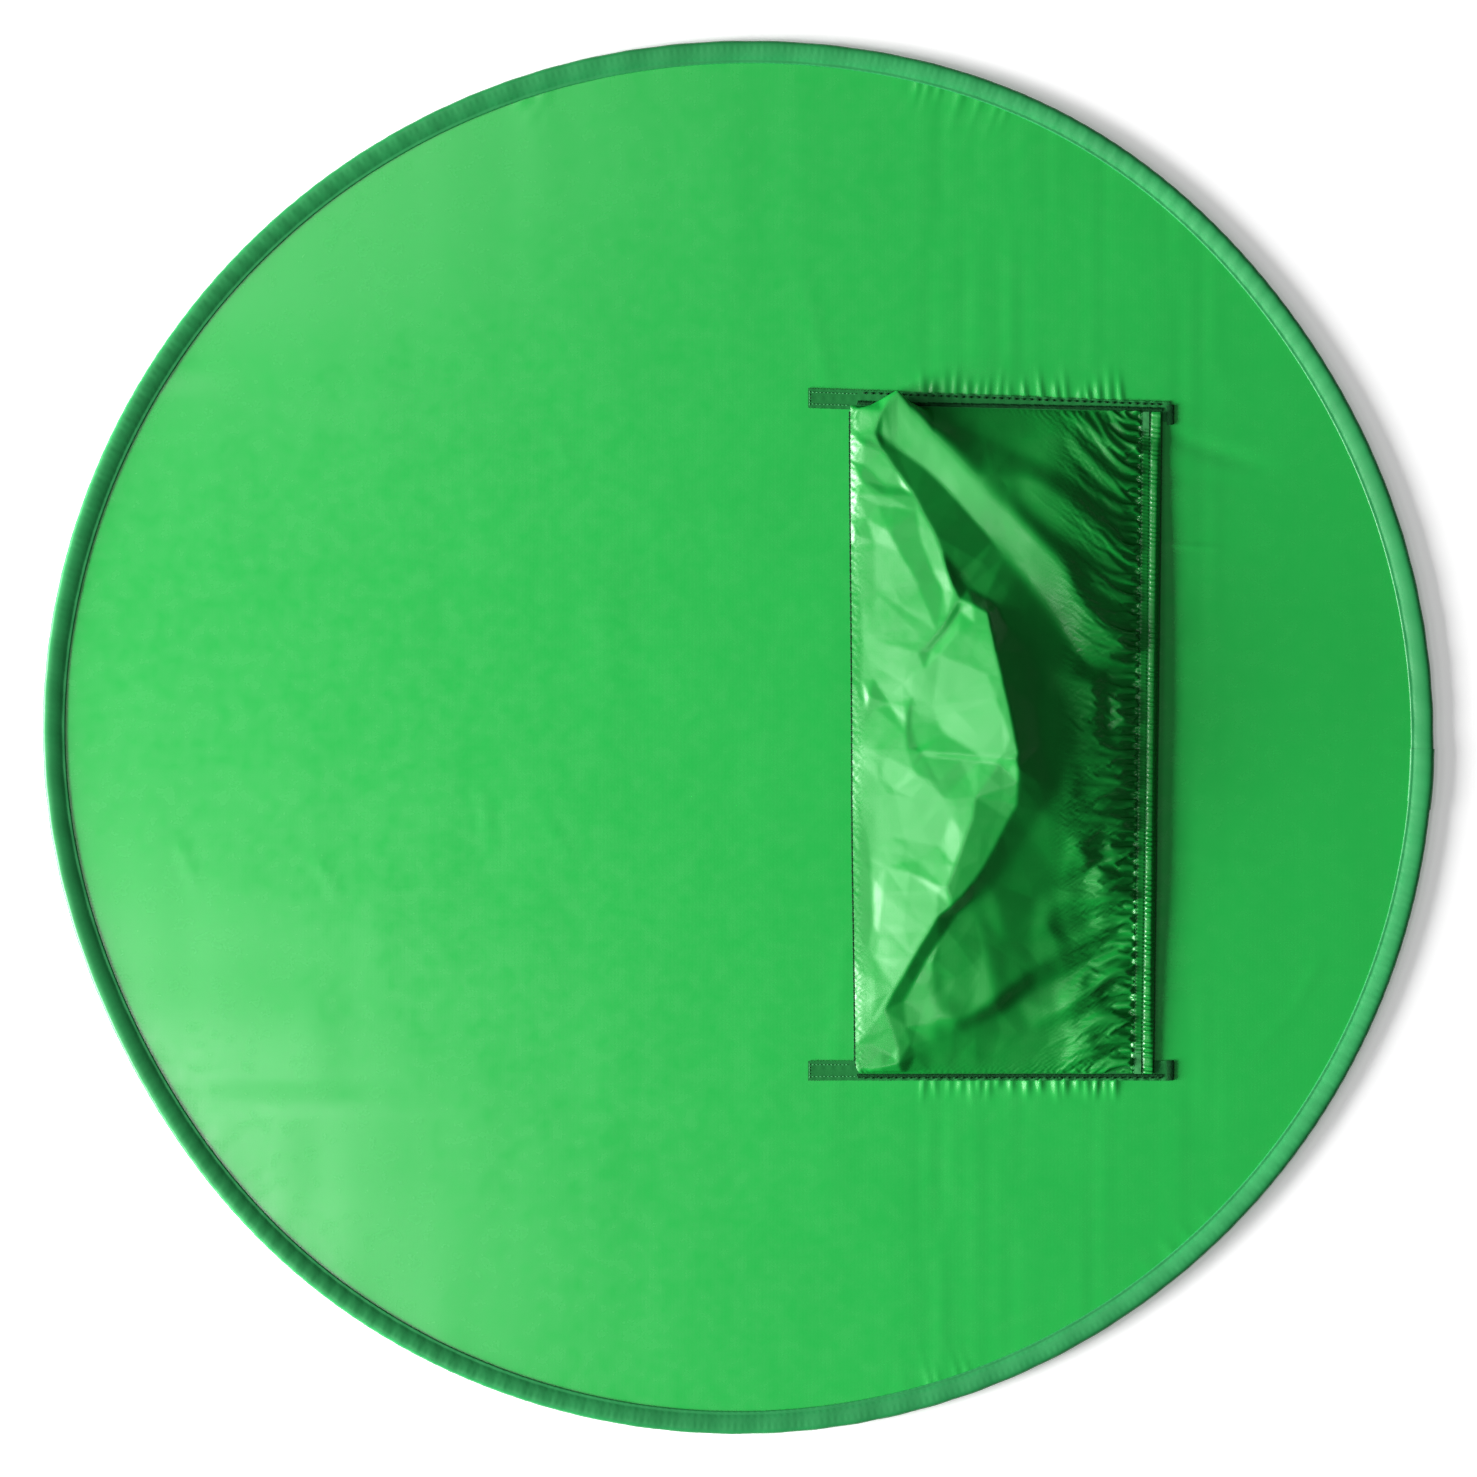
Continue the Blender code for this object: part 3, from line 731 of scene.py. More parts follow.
# Folds of the front ply, in millimetres: (x, y, height). Each is a crest, a valley or a crease.
FOLDS = {
    "crest_a": [
        (141, 308, 10), (150, 293, 13), (161, 275, 17), (172, 259, 21), (181, 247, 24), (190, 228, 28),
        (200, 210, 31), (208, 190, 34), (214, 170, 37), (221, 150, 40), (226, 141, 41), (240, 135, 46),
        (254, 127, 51), (258, 105, 55), (262, 85, 57.5), (268, 60, 60), (275, 30, 62), (280, 5, 63),
        (284, -14, 62), (284, -30, 60), (284, -45, 56.5), (283, -68, 51.5),
    ],
    "crest_a_inner": [(181, 247, 24), (181, 232, 24), (187, 200, 25), (196, 175, 28), (208, 150, 33)],
    "plate_ridge": [(253, 65, 54.5), (262, 40, 58.5), (270, 18, 61), (276, 0, 62)],
    "plate_top": [(254, 127, 51), (240, 116, 47), (224, 108, 42), (205, 85, 36), (190, 70, 30)],
    "plate_left_ridge": [
        (221, 150, 40), (213, 123, 37), (203, 108, 34), (193, 96, 31), (184, 87, 28), (180, 75, 26),
        (178, 60, 25), (177, 42, 23),
    ],
    "plate_left_valley": [(226, 128, 38), (210, 104, 34), (196, 88, 30)],
    "strip_outer": [
        (127, 140, 3), (128, 100, 3), (127, 60, 2.5), (131, 28, 5), (127, 5, 3.5), (122, -20, 2),
    ],
    "strip_inner": [
        (140, 200, 9), (141, 150, 9), (140, 100, 8.5), (139, 60, 7.5), (135, 42, 8), (131, 28, 5),
    ],
    "diagonal_line": [(155, 210, 17.5), (165, 190, 20.5), (180, 165, 25.5)],
    "left_bar": [(124, 249, 5), (150, 248, 15), (181, 247, 24)],
    "over_bar": [(130, 262, 7), (150, 258, 12), (167, 256, 17)],
    "top_notch": [(122, 307, 3), (137, 303, 8)],
    "left_notch": [(131, 299, 8), (130, 280, 5), (127, 266, 6)],
    "left_slant": [(121, 208, 3), (133, 224, 7), (144, 238, 11)],
    "top_pinch": [(160, 338, 16), (158, 330, 16), (148, 321, 13), (141, 308, 10)],
    "crest_b": [
        (165, 338, 17), (190, 330, 21), (204, 315, 24), (217, 300, 26), (229, 286, 28), (241, 271, 30),
        (256, 253, 31.5), (270, 241, 32.5), (284, 229, 33.5), (304, 209, 34.5), (323, 189, 34.5),
        (339, 169, 34), (346, 152, 33.5), (355, 137, 32.5), (363, 126, 31.5), (374, 115, 30),
        (386, 106, 28), (398, 95, 25.5),
    ],
    "valley_ab": [
        (147, 304, 8), (158, 298, 9.5), (170, 291, 11.5), (190, 277, 14), (206, 262, 16.5), (220, 247, 19),
        (233, 232, 21), (246, 217, 22.5), (260, 201, 23.5), (273, 186, 24), (286, 170, 24.5),
        (298, 154, 24.5), (311, 137, 24.5), (323, 120, 24), (334, 105, 23), (345, 90, 21), (357, 77, 19),
        (367, 70, 17), (382, 67, 13.5), (401, 71, 11),
    ],
    "slope_a": [(222, 165, 32), (233, 153, 34), (252, 143, 36), (266, 130, 37.5), (276, 112, 38)],
    "slope_ab": [
        (292, 128, 32), (297, 110, 33), (300, 90, 35), (303, 73, 36.5), (305, 31, 40), (310, -7, 42),
    ],
    "b_lip": [
        (345, 104, 27), (355, 91, 26), (365, 82, 24), (379, 79, 22.5), (392, 87, 23), (398, 95, 25.5),
    ],
    "valley_top": [
        (188, 334, 4), (203, 328, 6), (222, 321, 8), (245, 312, 9), (262, 305, 12), (283, 294, 15),
        (305, 285, 18), (325, 277, 20), (343, 264, 19), (363, 245, 16), (383, 235, 12), (400, 228, 8),
    ],
    "valley_bc": [
        (286, 247, 28.5), (299, 229, 28), (323, 208, 26), (342, 196, 23), (370, 180, 17.5), (396, 172, 12),
    ],
    "crest_c": [
        (284, 271, 27.5), (300, 268, 29), (315, 261, 30), (342, 242, 28.5), (370, 216, 24), (392, 189, 17),
    ],
    "c_end": [(284, 271, 27.5), (288, 258, 28), (286, 247, 28.5)],
    "small_c": [(350, 165, 25), (370, 157, 22), (402, 144, 14.5)],
    "valley_small": [(349, 152, 28), (370, 137, 22), (386, 128, 17), (402, 124, 13)],
    "ridge_e3": [(343, 276, 19), (352, 264, 18.5), (371, 250, 16.5), (394, 235, 12.5)],
    "valley_e3": [(343, 290, 14.5), (358, 275, 14), (378, 259, 12), (400, 243, 7.5)],
    "ridge_e2": [(330, 318, 10), (343, 307, 14), (362, 288, 16.5), (386, 264, 15), (405, 248, 9.5)],
    "valley_e2": [(345, 320, 9), (366, 302, 10.5), (386, 284, 10), (406, 266, 6.5)],
    "ridge_e1": [(354, 331, 8), (372, 316, 12), (391, 300, 12.5), (408, 283, 8.5)],
    "valley_e1": [(366, 328, 6), (384, 314, 7.5), (409, 293, 5.5)],
    "ridge_e0": [(375, 331, 5), (392, 318, 8.5), (410, 303, 7)],
    "low_bar": [(131, 28, 5), (140, 31, 8), (155, 34, 13), (177, 42, 23)],
    "nose_ridge": [(310, 69, 33), (320, 67, 33), (341, 61, 31.5), (366, 54, 29.5)],
    "nose_crease": [(316, 41, 33.8), (335, 37, 31), (346, 30, 29.8), (361, 20, 28.8)],
    "nose_edge": [(366, 54, 29.5), (369, 40, 28.8), (370, 25, 28.3), (367, 10, 28.3), (371, -3, 27.5)],
    "hem_trough": [(377, 45, 19), (378, 20, 18), (381, 2, 19)],
    "hem_pouch": [(385, 48, 19), (392, 38, 21), (398, 20, 21), (393, 2, 20)],
    "bright_line": [
        (177, 42, 23), (172, 22, 22), (171, 5, 22), (173, -10, 23), (178, -30, 25), (184, -38, 28),
        (196, -42, 32), (204, -45, 34), (210, -62, 36), (217, -80, 39),
    ],
    "beside_line": [(177, 28, 22.5), (177, 12, 22.5), (180, -2, 23.5), (184, -11, 25)],
    "plate_crease": [(198, 32, 30), (203, 18, 31), (209, 4, 33)],
    "cross": [(186, -13, 27), (225, -16, 41), (245, -18, 48), (267, -20, 57), (280, -22, 61.5)],
    "cross_low": [(189, -18, 27), (226, -22, 39.5), (246, -24, 46.5), (265, -26, 54)],
    "cross_tail": [(226, -22, 39.5), (232, -36, 41), (241, -60, 48)],
    "band_left": [
        (122, -24, 2), (125, -60, 3), (130, -90, 4), (135, -120, 5), (137, -150, 5), (137, -190, 5),
        (132, -215, 4.5), (124, -241, 3), (125, -270, 3.5), (126, -305, 3.5),
    ],
    "band_right": [
        (138, -21, 9), (149, -24, 13), (150, -60, 13), (155, -100, 13.5), (152, -130, 12.5),
        (148, -160, 11), (143, -200, 8.5), (138, -224, 7),
    ],
    "band_nick": [(143, -28, 11), (145, -46, 11)],
    "crest_d_inner": [
        (241, -60, 48), (238, -82, 48), (231, -100, 46), (227, -112, 44.5), (220, -130, 42),
        (212, -150, 39.5),
    ],
    "crest_d": [
        (283, -68, 51), (275, -82, 49.5), (268, -96, 48), (261, -110, 46.5), (250, -130, 44),
        (240, -145, 42), (228, -160, 40), (217, -171, 38), (203, -182, 35), (195, -196, 32),
        (185, -212, 28.5), (178, -225, 26), (170, -240, 21.5), (160, -256, 17), (149, -277, 12.5),
    ],
    "knot": [(203, -158, 34), (207, -151, 37), (212, -150, 39.5), (216, -164, 39)],
    "mid_crease": [(171, -136, 21), (185, -124, 26), (205, -110, 33)],
    "valley_d": [
        (311, -75, 40), (294, -100, 37), (276, -125, 34), (258, -150, 31), (240, -165, 29), (223, -179, 27),
        (206, -205, 25), (191, -228, 21), (179, -250, 16), (169, -268, 12),
    ],
    "small_facet": [(198, -228, 23.5), (199, -248, 21.5), (199, -265, 19)],
    "beside_facet": [(206, -232, 22), (206, -252, 19)],
    "foot_facet": [(176, -270, 13), (199, -269, 18.5), (238, -274, 17)],
    "slope_q": [(250, -208, 24), (275, -212, 19.5), (300, -208, 15), (330, -197, 10.5), (362, -189, 6.5)],
    "ridge_r": [
        (172, -294, 13), (200, -291, 17), (222, -288, 19.5), (240, -281, 20.5), (262, -269, 21),
        (272, -259, 20.5), (283, -250, 19.5), (301, -236, 17.5), (320, -224, 15.5), (341, -213, 13.5),
        (360, -202, 11.5), (379, -190, 10), (396, -182, 8.5),
    ],
    "valley_r": [
        (181, -322, 8.5), (200, -312, 9.5), (225, -300, 10), (245, -290, 9.5), (268, -280, 8),
        (285, -265, 7), (300, -256, 6), (325, -246, 5), (350, -236, 4.5), (366, -229, 4.5), (382, -222, 5),
        (397, -213, 4.5),
    ],
    "ridge_w": [(340, -255, 9.5), (356, -242, 11), (372, -232, 11.5), (399, -219, 10)],
    "valley_w": [(362, -248, 7), (380, -236, 7), (398, -227, 6.5)],
    "ridge_s": [
        (325, -280, 10), (340, -271, 13.5), (355, -262, 15), (370, -253, 15), (381, -244, 14),
        (401, -235, 11.5),
    ],
    "hem_pit": [(385, -256, 6), (390, -269, 5)],
    "valley_s": [
        (262, -304, 6.5), (300, -300, 5), (330, -290, 5), (361, -280, 5.5), (380, -276, 5), (398, -276, 4),
    ],
    "ridge_t": [(345, -303, 8), (361, -294, 10.5), (380, -284, 12), (396, -281, 10.5)],
    "ridge_t_low": [(372, -301, 7.5), (390, -289, 9.5), (401, -297, 7)],
    "low_flat": [(281, -315, 4.5), (300, -307, 5.5), (341, -306, 6)],
    "low_ridge": [(350, -319, 8.5), (365, -314, 9.5)],
    "low_valley": [(393, -305, 6), (384, -320, 5)],
    "hem_fold": [
        (302, -177, 18), (320, -170, 18.5), (341, -164, 18.5), (356, -162, 18), (376, -166, 17.5),
        (386, -165, 17), (400, -159, 14.5),
    ],
    "under_hem_fold": [(345, -171, 14), (370, -171, 12), (386, -173, 10.5), (401, -179, 8)],
    "slant_crease": [(303, -180, 18), (316, -191, 17), (331, -207, 14.5)],
    "valley_u": [
        (306, -160, 19), (330, -151, 16.5), (346, -143, 15.5), (361, -134, 14.5), (376, -124, 13.5),
        (388, -130, 12.5), (401, -142, 11.5),
    ],
    "triangle": [(358, -157, 15), (376, -134, 20), (399, -152, 14)],
    "second_triangle": [(387, -122, 18), (399, -136, 13.5)],
    "facet_v": [(336, -96, 33), (347, -110, 30.5), (359, -123, 26)],
    "ridge_u": [(325, -56, 37), (341, -59, 34), (360, -68, 29), (380, -77, 24), (399, -83, 18)],
    "square_left": [(345, -7, 31), (343, -20, 33), (342, -52, 33)],
    "square_inner": [(353, -28, 29), (352, -52, 28)],
    "square_top": [(350, -20, 32), (362, -24, 29), (401, -30, 19)],
    "star_a": [(164, -328, 11), (146, -332, 7), (128, -335, 2.5)],
    "star_b": [(164, -328, 11), (163, -312, 11), (157, -296, 12), (149, -277, 12.5)],
    "star_c": [(164, -328, 11), (176, -310, 11.5), (185, -300, 12)],
    "star_low": [(157, -321, 8), (145, -316, 6), (135, -311, 4)],
}
SOFT_FOLDS = ("crest_b", "crest_c", "valley_bc")

PLY_STEP = 0.0015
PLY_THICKNESS = 0.0004
GATHER_X = 0.4105
HEM_RISE = 0.0090


def border_points():
    """Points of the ply's outline, in millimetres, at the height of its seams or of its mouth."""
    left, right, gather = CLOSED_X / MM, MOUTH_X / MM, GATHER_X / MM
    low, high = LOWER_Y / MM, UPPER_Y / MM
    along = np.linspace(low, high, 25)
    points = [(left, y, 0.0) for y in along]
    for y in along[1:-1]:
        v = (y - (low + high) / 2) / ((high - low) / 2)
        mouth = HEM_RISE / MM * (1.0 - abs(v) ** 2.4)
        points += [(gather, y, mouth), (right, y, mouth - 1.0)]
    for x in np.linspace(left, right, 13)[1:]:
        points += [(x, low, 0.0), (x, high, 0.0)]
    return points


def facets(places, heights, edges, x, y):
    """Height at points x, y of flat facets between the given places, with folds along the edges."""
    result = delaunay_2d_cdt([Vector(p) for p in places], edges, [], 0, 1e-4)
    flat = np.array([(c.x, c.y) for c in result[0]])
    level = np.array([np.mean([heights[i] for i in s]) if s else np.nan for s in result[3]])
    for i in np.flatnonzero(np.isnan(level)):
        near = np.argsort(np.hypot(*(flat - flat[i]).T))[1:4]
        level[i] = np.nanmean(level[near])
    z = np.zeros(x.shape)
    for a, b, c in result[2]:
        (ax, ay), (bx, by), (cx, cy) = flat[a], flat[b], flat[c]
        area = (bx - ax) * (cy - ay) - (cx - ax) * (by - ay)
        if abs(area) < 1e-6:
            continue
        columns = np.flatnonzero((x[0] >= min(ax, bx, cx) - 0.01) & (x[0] <= max(ax, bx, cx) + 0.01))
        rows = np.flatnonzero((y[:, 0] >= min(ay, by, cy) - 0.01) & (y[:, 0] <= max(ay, by, cy) + 0.01))
        block = np.ix_(rows, columns)
        px, py = x[block], y[block]
        wb = ((px - ax) * (cy - ay) - (cx - ax) * (py - ay)) / area
        wc = ((bx - ax) * (py - ay) - (px - ax) * (by - ay)) / area
        wa = 1.0 - wb - wc
        hit = (wa > -1e-6) & (wb > -1e-6) & (wc > -1e-6)
        z[block] = np.where(hit, wa * level[a] + wb * level[b] + wc * level[c], z[block])
    return z


def fold_heights(x, y):
    """Height of the folded ply at points in millimetres: flat facets between the folds."""
    heights, edges = {}, []

    def index_of(point):
        place = (round(point[0], 3), round(point[1], 3))
        heights.setdefault(place, point[2])
        return list(heights).index(place)

    for line in FOLDS.values():
        chain = [index_of(point) for point in line]
        edges += list(zip(chain, chain[1:]))
    for point in border_points():
        index_of(point)
    return facets(list(heights), list(heights.values()), edges, x, y)


def crushed(x, y, spacing, size, seed):
    """Shallow random facets with straight creases, as thin coated nylon keeps them."""
    rng = np.random.default_rng(seed)
    columns = np.arange(x.min() - spacing, x.max() + 2 * spacing, spacing)
    rows = np.arange(y.min() - spacing, y.max() + 2 * spacing, spacing)
    gx, gy = np.meshgrid(columns, rows)
    gx = gx + rng.uniform(-0.42, 0.42, gx.shape) * spacing
    gy = gy + rng.uniform(-0.42, 0.42, gy.shape) * spacing
    heights = rng.uniform(-size, size, gx.size)
    return facets(list(zip(gx.ravel(), gy.ravel())), heights, [], x, y)


def blurred(values, sigma):
    """Gaussian smoothing over sigma grid steps, which keeps the values at the border."""
    reach = int(3 * sigma) + 1
    weights = np.exp(-0.5 * (np.arange(-reach, reach + 1) / sigma) ** 2)
    weights /= weights.sum()
    for axis in (0, 1):
        pad = [(0, 0), (0, 0)]
        pad[axis] = (reach, reach)
        wide = np.pad(values, pad, mode="reflect", reflect_type="odd")
        values = np.apply_along_axis(lambda line: np.convolve(line, weights, "valid"), axis, wide)
    return values


def line_distance(x, y, line):
    """Distance from each point to a line of straight stretches."""
    nearest = np.full(x.shape, 1e9)
    for (x0, y0, _), (x1, y1, _) in zip(line, line[1:]):
        dx, dy = x1 - x0, y1 - y0
        t = np.clip(((x - x0) * dx + (y - y0) * dy) / (dx * dx + dy * dy), 0.0, 1.0)
        nearest = np.minimum(nearest, np.hypot(x - x0 - t * dx, y - y0 - t * dy))
    return nearest


# Where the crisp left part ends, up the pocket in millimetres: to its right the cloth is slacker.
CRISP_Y = [-340, -270, -160, -75, 0, 90, 154, 216, 262, 304, 340]
CRISP_X = [180, 165, 226, 290, 292, 274, 256, 246, 206, 150, 150]


def slackness(x, y):
    """From 0 left of the main creases to 1 in the softer cloth on their right."""
    past = x - np.interp(y, CRISP_Y, CRISP_X)
    return smoothstep(past, 4.0, 24.0) * (1.0 - 0.7 * smoothstep(x, 370.0, 400.0))


def softness(x, y):
    """From 0 at sharp creases to 1 along the broad rolling folds."""
    soft = np.min([line_distance(x, y, FOLDS[name]) for name in SOFT_FOLDS], axis=0)
    return 1.0 - smoothstep(soft, 8.0, 26.0)


# Blur of the folds, in millimetres: at crisp creases, in slack cloth, along the broad rolls.
BLURS = (1.5, 4.5, 5.5)
# Random facets: spacing and size in millimetres, and seed.
FACETS = ((46.0, 1.0, 61), (25.0, 0.5, 62))
FACET_BLUR = 0.8
# How far the ply stands up beside its seams, and the distance it takes, in millimetres.
SEAM_LIFT, SEAM_REACH = 0.6, 3.5


def ply_heights(x, y):
    """Height of the front ply over its seams, in millimetres, at points in millimetres."""
    base = fold_heights(x, y)
    step = PLY_STEP / MM
    crisp, slack_cloth, rolls = (blurred(base, width / step) for width in BLURS)
    slack, soft = slackness(x, y), softness(x, y)
    height = crisp * (1.0 - slack) + slack_cloth * slack
    height = height * (1.0 - soft) + rolls * soft
    sides = np.minimum(y - LOWER_Y / MM, UPPER_Y / MM - y)
    inner = np.minimum(sides, x - CLOSED_X / MM)
    calm = smoothstep(inner, 2.0, 26.0) * (1.0 - 0.7 * smoothstep(x, 375.0, 405.0)) * (1.0 - 0.55 * soft)
    creased = sum(crushed(x, y, *kind) for kind in FACETS)
    height += blurred(creased, FACET_BLUR / step) * calm
    height += SEAM_LIFT * (1.0 - np.exp(-np.clip(inner, 0.0, None) / SEAM_REACH))
    return np.maximum(height, 0.0)


def mouth_lean(y):
    """The mouth isn't quite square: it draws in towards its lower end."""
    return -0.0008 - 0.0125 * (UPPER_Y - y)


def bulge_profile(inward):
    """How far out the ply leans at a distance inward from its seam: most of it at about 9 mm."""
    return smoothstep(inward, 0.0, 0.009) * (1.0 - smoothstep(inward, 0.009, 0.050))


CORNER = 0.012


def closed_end_shift(x, y):
    """Two shifts along X: the closed end leans a little, and its lower corner is rounded."""
    near_end = 1.0 - smoothstep(x, CLOSED_X, CLOSED_X + 0.05)
    low = np.clip(1.0 - (y - LOWER_Y) / CORNER, 0.0, 1.0)
    lean = -0.0022 * smoothstep(y, -0.05, UPPER_Y) + 0.0030 * smoothstep(-y, 0.05, -LOWER_Y)
    return near_end * lean, near_end * CORNER * 0.55 * (1.0 - np.sqrt(np.clip(1.0 - low**2, 0.0, 1.0)))


def ply_grid():
    """The whole front ply with its hem, as a grid of points: rows run up Y, columns along X."""
    x = np.arange(CLOSED_X, MOUTH_X + PLY_STEP / 2, PLY_STEP)
    y = np.arange(LOWER_Y, UPPER_Y + PLY_STEP / 2, PLY_STEP)
    gx, gy = np.meshgrid(x, y)
    gz = ply_heights(gx / MM, gy / MM) * MM
    px = gx + mouth_lean(gy) * smoothstep(gx, 0.32, 0.405)
    for shift in closed_end_shift(gx, gy):
        px += shift
    # the ply bulges out over its upper seam at one peak, and over the lower seam near the corner
    peak = np.interp(gx, [CLOSED_X, 0.138, 0.163, 0.176, 0.200], [0.0, 0.009, 0.0250, 0.012, 0.0])
    bump = 0.0045 * smoothstep(gx, CLOSED_X + 0.004, 0.135) * (1.0 - smoothstep(gx, 0.165, 0.200))
    py = gy + peak * bulge_profile(UPPER_Y - gy)
    py -= bump * bulge_profile(gy - LOWER_Y)
    py += UPPER_SEAM_SLOPE * (gx - CLOSED_X) * smoothstep(gy, 0.10, UPPER_Y)
    return xyz(px, py, SEAM_Z + gz), x, y


# ---- pocket: gathers and puckers, by relaxing the ply as cloth ----

# Slope of the gathers, up and away from the mouth, at places along the mouth.
SLANT_Y = [-0.34, -0.20, -0.06, 0.06, 0.20, 0.34]
SLANT = [-0.30, -0.28, -0.05, 0.25, 0.75, 0.95]

# The uneven ripples that the gathers grow from, by coarse step: pitch, height and reach from the mouth.
RIPPLES = {4: (0.026, 0.0045, 0.030), 2: (0.0105, 0.0009, 0.009)}

# How the ply is relaxed: grid steps across one coarse step, share of the gathers and of the puckers,
# bending, rounds.
STAGES = (
    (8, 0.0, 0.0, 0.10, 120), (4, 0.5, 1.0, 0.15, 160), (2, 1.0, 1.0, 0.25, 160), (1, 1.0, 1.0, 0.45, 70),
)


def before_hem(x):
    """From 1 on the ply to 0 on its hem."""
    return 1.0 - smoothstep(x, GATHER_X, GATHER_X + 0.003)


# Spare length of the cloth, as a share: everywhere, in the gathers, in the fullness beyond them, and in
# the puckers along the side seams and along the closed end.
LOOSE = 0.0012
GATHER_SPARE, FULL_SPARE = 0.36, 0.10
SEAM_SPARE, CLOSED_SPARE = 0.02, 0.008


def spare_cloth(x, y, gathers, puckers):
    """How much longer the cloth is than the folds need: along X, along Y, and along both diagonals."""
    away = np.clip(GATHER_X - x, 0.0, None)
    uneven = 1.0 + 0.85 * np.sin(y * 71.0) * np.sin(y * 190.0 + 1.0)
    amount = GATHER_SPARE * uneven * gathers * np.exp(-away / 0.009) + FULL_SPARE * np.exp(-away / 0.040)
    amount = amount * before_hem(x)
    slant = np.interp(y, SLANT_Y, SLANT) * smoothstep(away, 0.0, 0.020)
    length = np.hypot(slant, 1.0)
    across_x, across_y = slant / length, 1.0 / length
    closed = CLOSED_SPARE * puckers * np.exp(-(x - CLOSED_X) / 0.010)
    seams = SEAM_SPARE * puckers * np.exp(-np.minimum(UPPER_Y - y, y - LOWER_Y) / 0.010)
    both = (seams + closed) / 2
    along_x = amount * across_x**2 + seams + LOOSE
    along_y = amount * across_y**2 + closed + LOOSE
    rising = amount * (across_x + across_y) ** 2 / 2 + both + LOOSE
    falling = amount * (across_x - across_y) ** 2 / 2 + both + LOOSE
    return along_x, along_y, rising, falling


def hold(x):
    """How firmly the cloth keeps to its folds: it gives most where the gathers run into it."""
    away = np.clip(GATHER_X - x, 0.0, None)
    middle = 0.008 + 0.040 * smoothstep(away, 0.045, 0.110)
    firm = 0.006 * np.exp(-away / 0.010) + 0.25 * smoothstep(x, GATHER_X, GATHER_X + 0.004)
    return (middle + firm) * (0.2 + 0.8 * smoothstep(x, CLOSED_X, CLOSED_X + 0.020))


def pull(points, free, a, b, rest, stiffness):
    """Moves the two ends of each link towards its length at rest."""
    ends, weights = (points[a], points[b]), (free[a], free[b])
    gap = ends[1] - ends[0]
    length = np.sqrt((gap * gap).sum(axis=-1))
    total = np.maximum(weights[0] + weights[1], 1e-9)
    move = gap * (stiffness * (length - rest) / (np.maximum(length, 1e-9) * total))[..., None]
    points[a] = ends[0] + move * weights[0][..., None]
    points[b] = ends[1] - move * weights[1][..., None]


def span(count, step, first, stride):
    """Where links of that many steps begin and end along one side of the grid."""
    low = slice(first, count - abs(step), stride)
    high = slice(first + abs(step), count, stride)
    return (low, high) if step >= 0 else (high, low)


def links(target, spare, bend):
    """Every link of the cloth in groups that share no point: (one end, other end, length, stiffness)."""
    along_x, along_y, rising, falling = spare
    rows, columns = target.shape[:2]
    groups = []

    def add(row_step, column_step, extra, stiffness, first):
        down = (first, 2 * row_step) if row_step else (0, 1)
        right = (0, 1) if row_step else (first, 2 * column_step)
        a, b = zip(span(rows, row_step, *down), span(columns, column_step, *right))
        length = np.linalg.norm(target[b] - target[a], axis=-1) * (1.0 + (extra[a] + extra[b]) / 2)
        groups.append((a, b, length, stiffness))

    for first in range(2):
        add(0, 1, along_x, 1.0, first)
        add(1, 0, along_y, 1.0, first)
        add(1, 1, rising, 0.6, first)
        add(1, -1, falling, 0.6, first)
    for first in range(4):
        add(0, 2, along_x, bend, first)
        add(2, 0, along_y, bend, first)
    return groups


def interior(shape):
    """A grid of ones with zeros along its border."""
    return np.pad(np.ones((shape[0] - 2, shape[1] - 2)), 1)


def relaxed(target, start, spare, grip, bend, rounds):
    """Lets cloth with spare length buckle over its folds, with its sewn edges held still."""
    points = start.copy()
    free = interior(target.shape)
    groups = links(target, spare, bend)
    keep = (grip * free)[..., None]
    for _ in range(rounds):
        for a, b, rest, stiffness in groups:
            pull(points, free, a, b, rest, stiffness)
        points += (target - points) * keep
        points[..., 2] = np.maximum(points[..., 2], SEAM_Z + 0.0002)
    return points


def resampled(grid, rows, columns):
    """The same surface with another number of rows and columns, by cubic interpolation."""

    def spread(values, count):
        wide = np.concatenate([2 * values[:1] - values[1:2], values, 2 * values[-1:] - values[-2:-1]])
        place = np.linspace(0.0, len(values) - 1.0, count)
        index = np.minimum(np.floor(place).astype(int), len(values) - 2)
        return cubic(*(wide[index + k] for k in range(4)), (place - index)[:, None, None])

    tall = spread(grid, rows)
    return spread(tall.transpose(1, 0, 2), columns).transpose(1, 0, 2)


def mouth_ripple(x, y, skip):
    """A slight uneven ripple beside the mouth, from which the gathers grow."""
    if skip not in RIPPLES:
        return 0.0
    pitch, size, reach = RIPPLES[skip]
    away = np.clip(GATHER_X - x, 0.0, None)
    along = y - np.interp(y, SLANT_Y, SLANT) * away
    turns = along / pitch + 0.9 * np.sin(along * 47.0) + 0.6 * np.sin(along * 131.0 + 2.0)
    uneven = 1.0 + 0.8 * np.sin(along * 83.0) * np.sin(along * 29.0)
    return size * uneven * (np.exp(-away / reach) * before_hem(x)) * np.sin(2 * math.pi * turns)


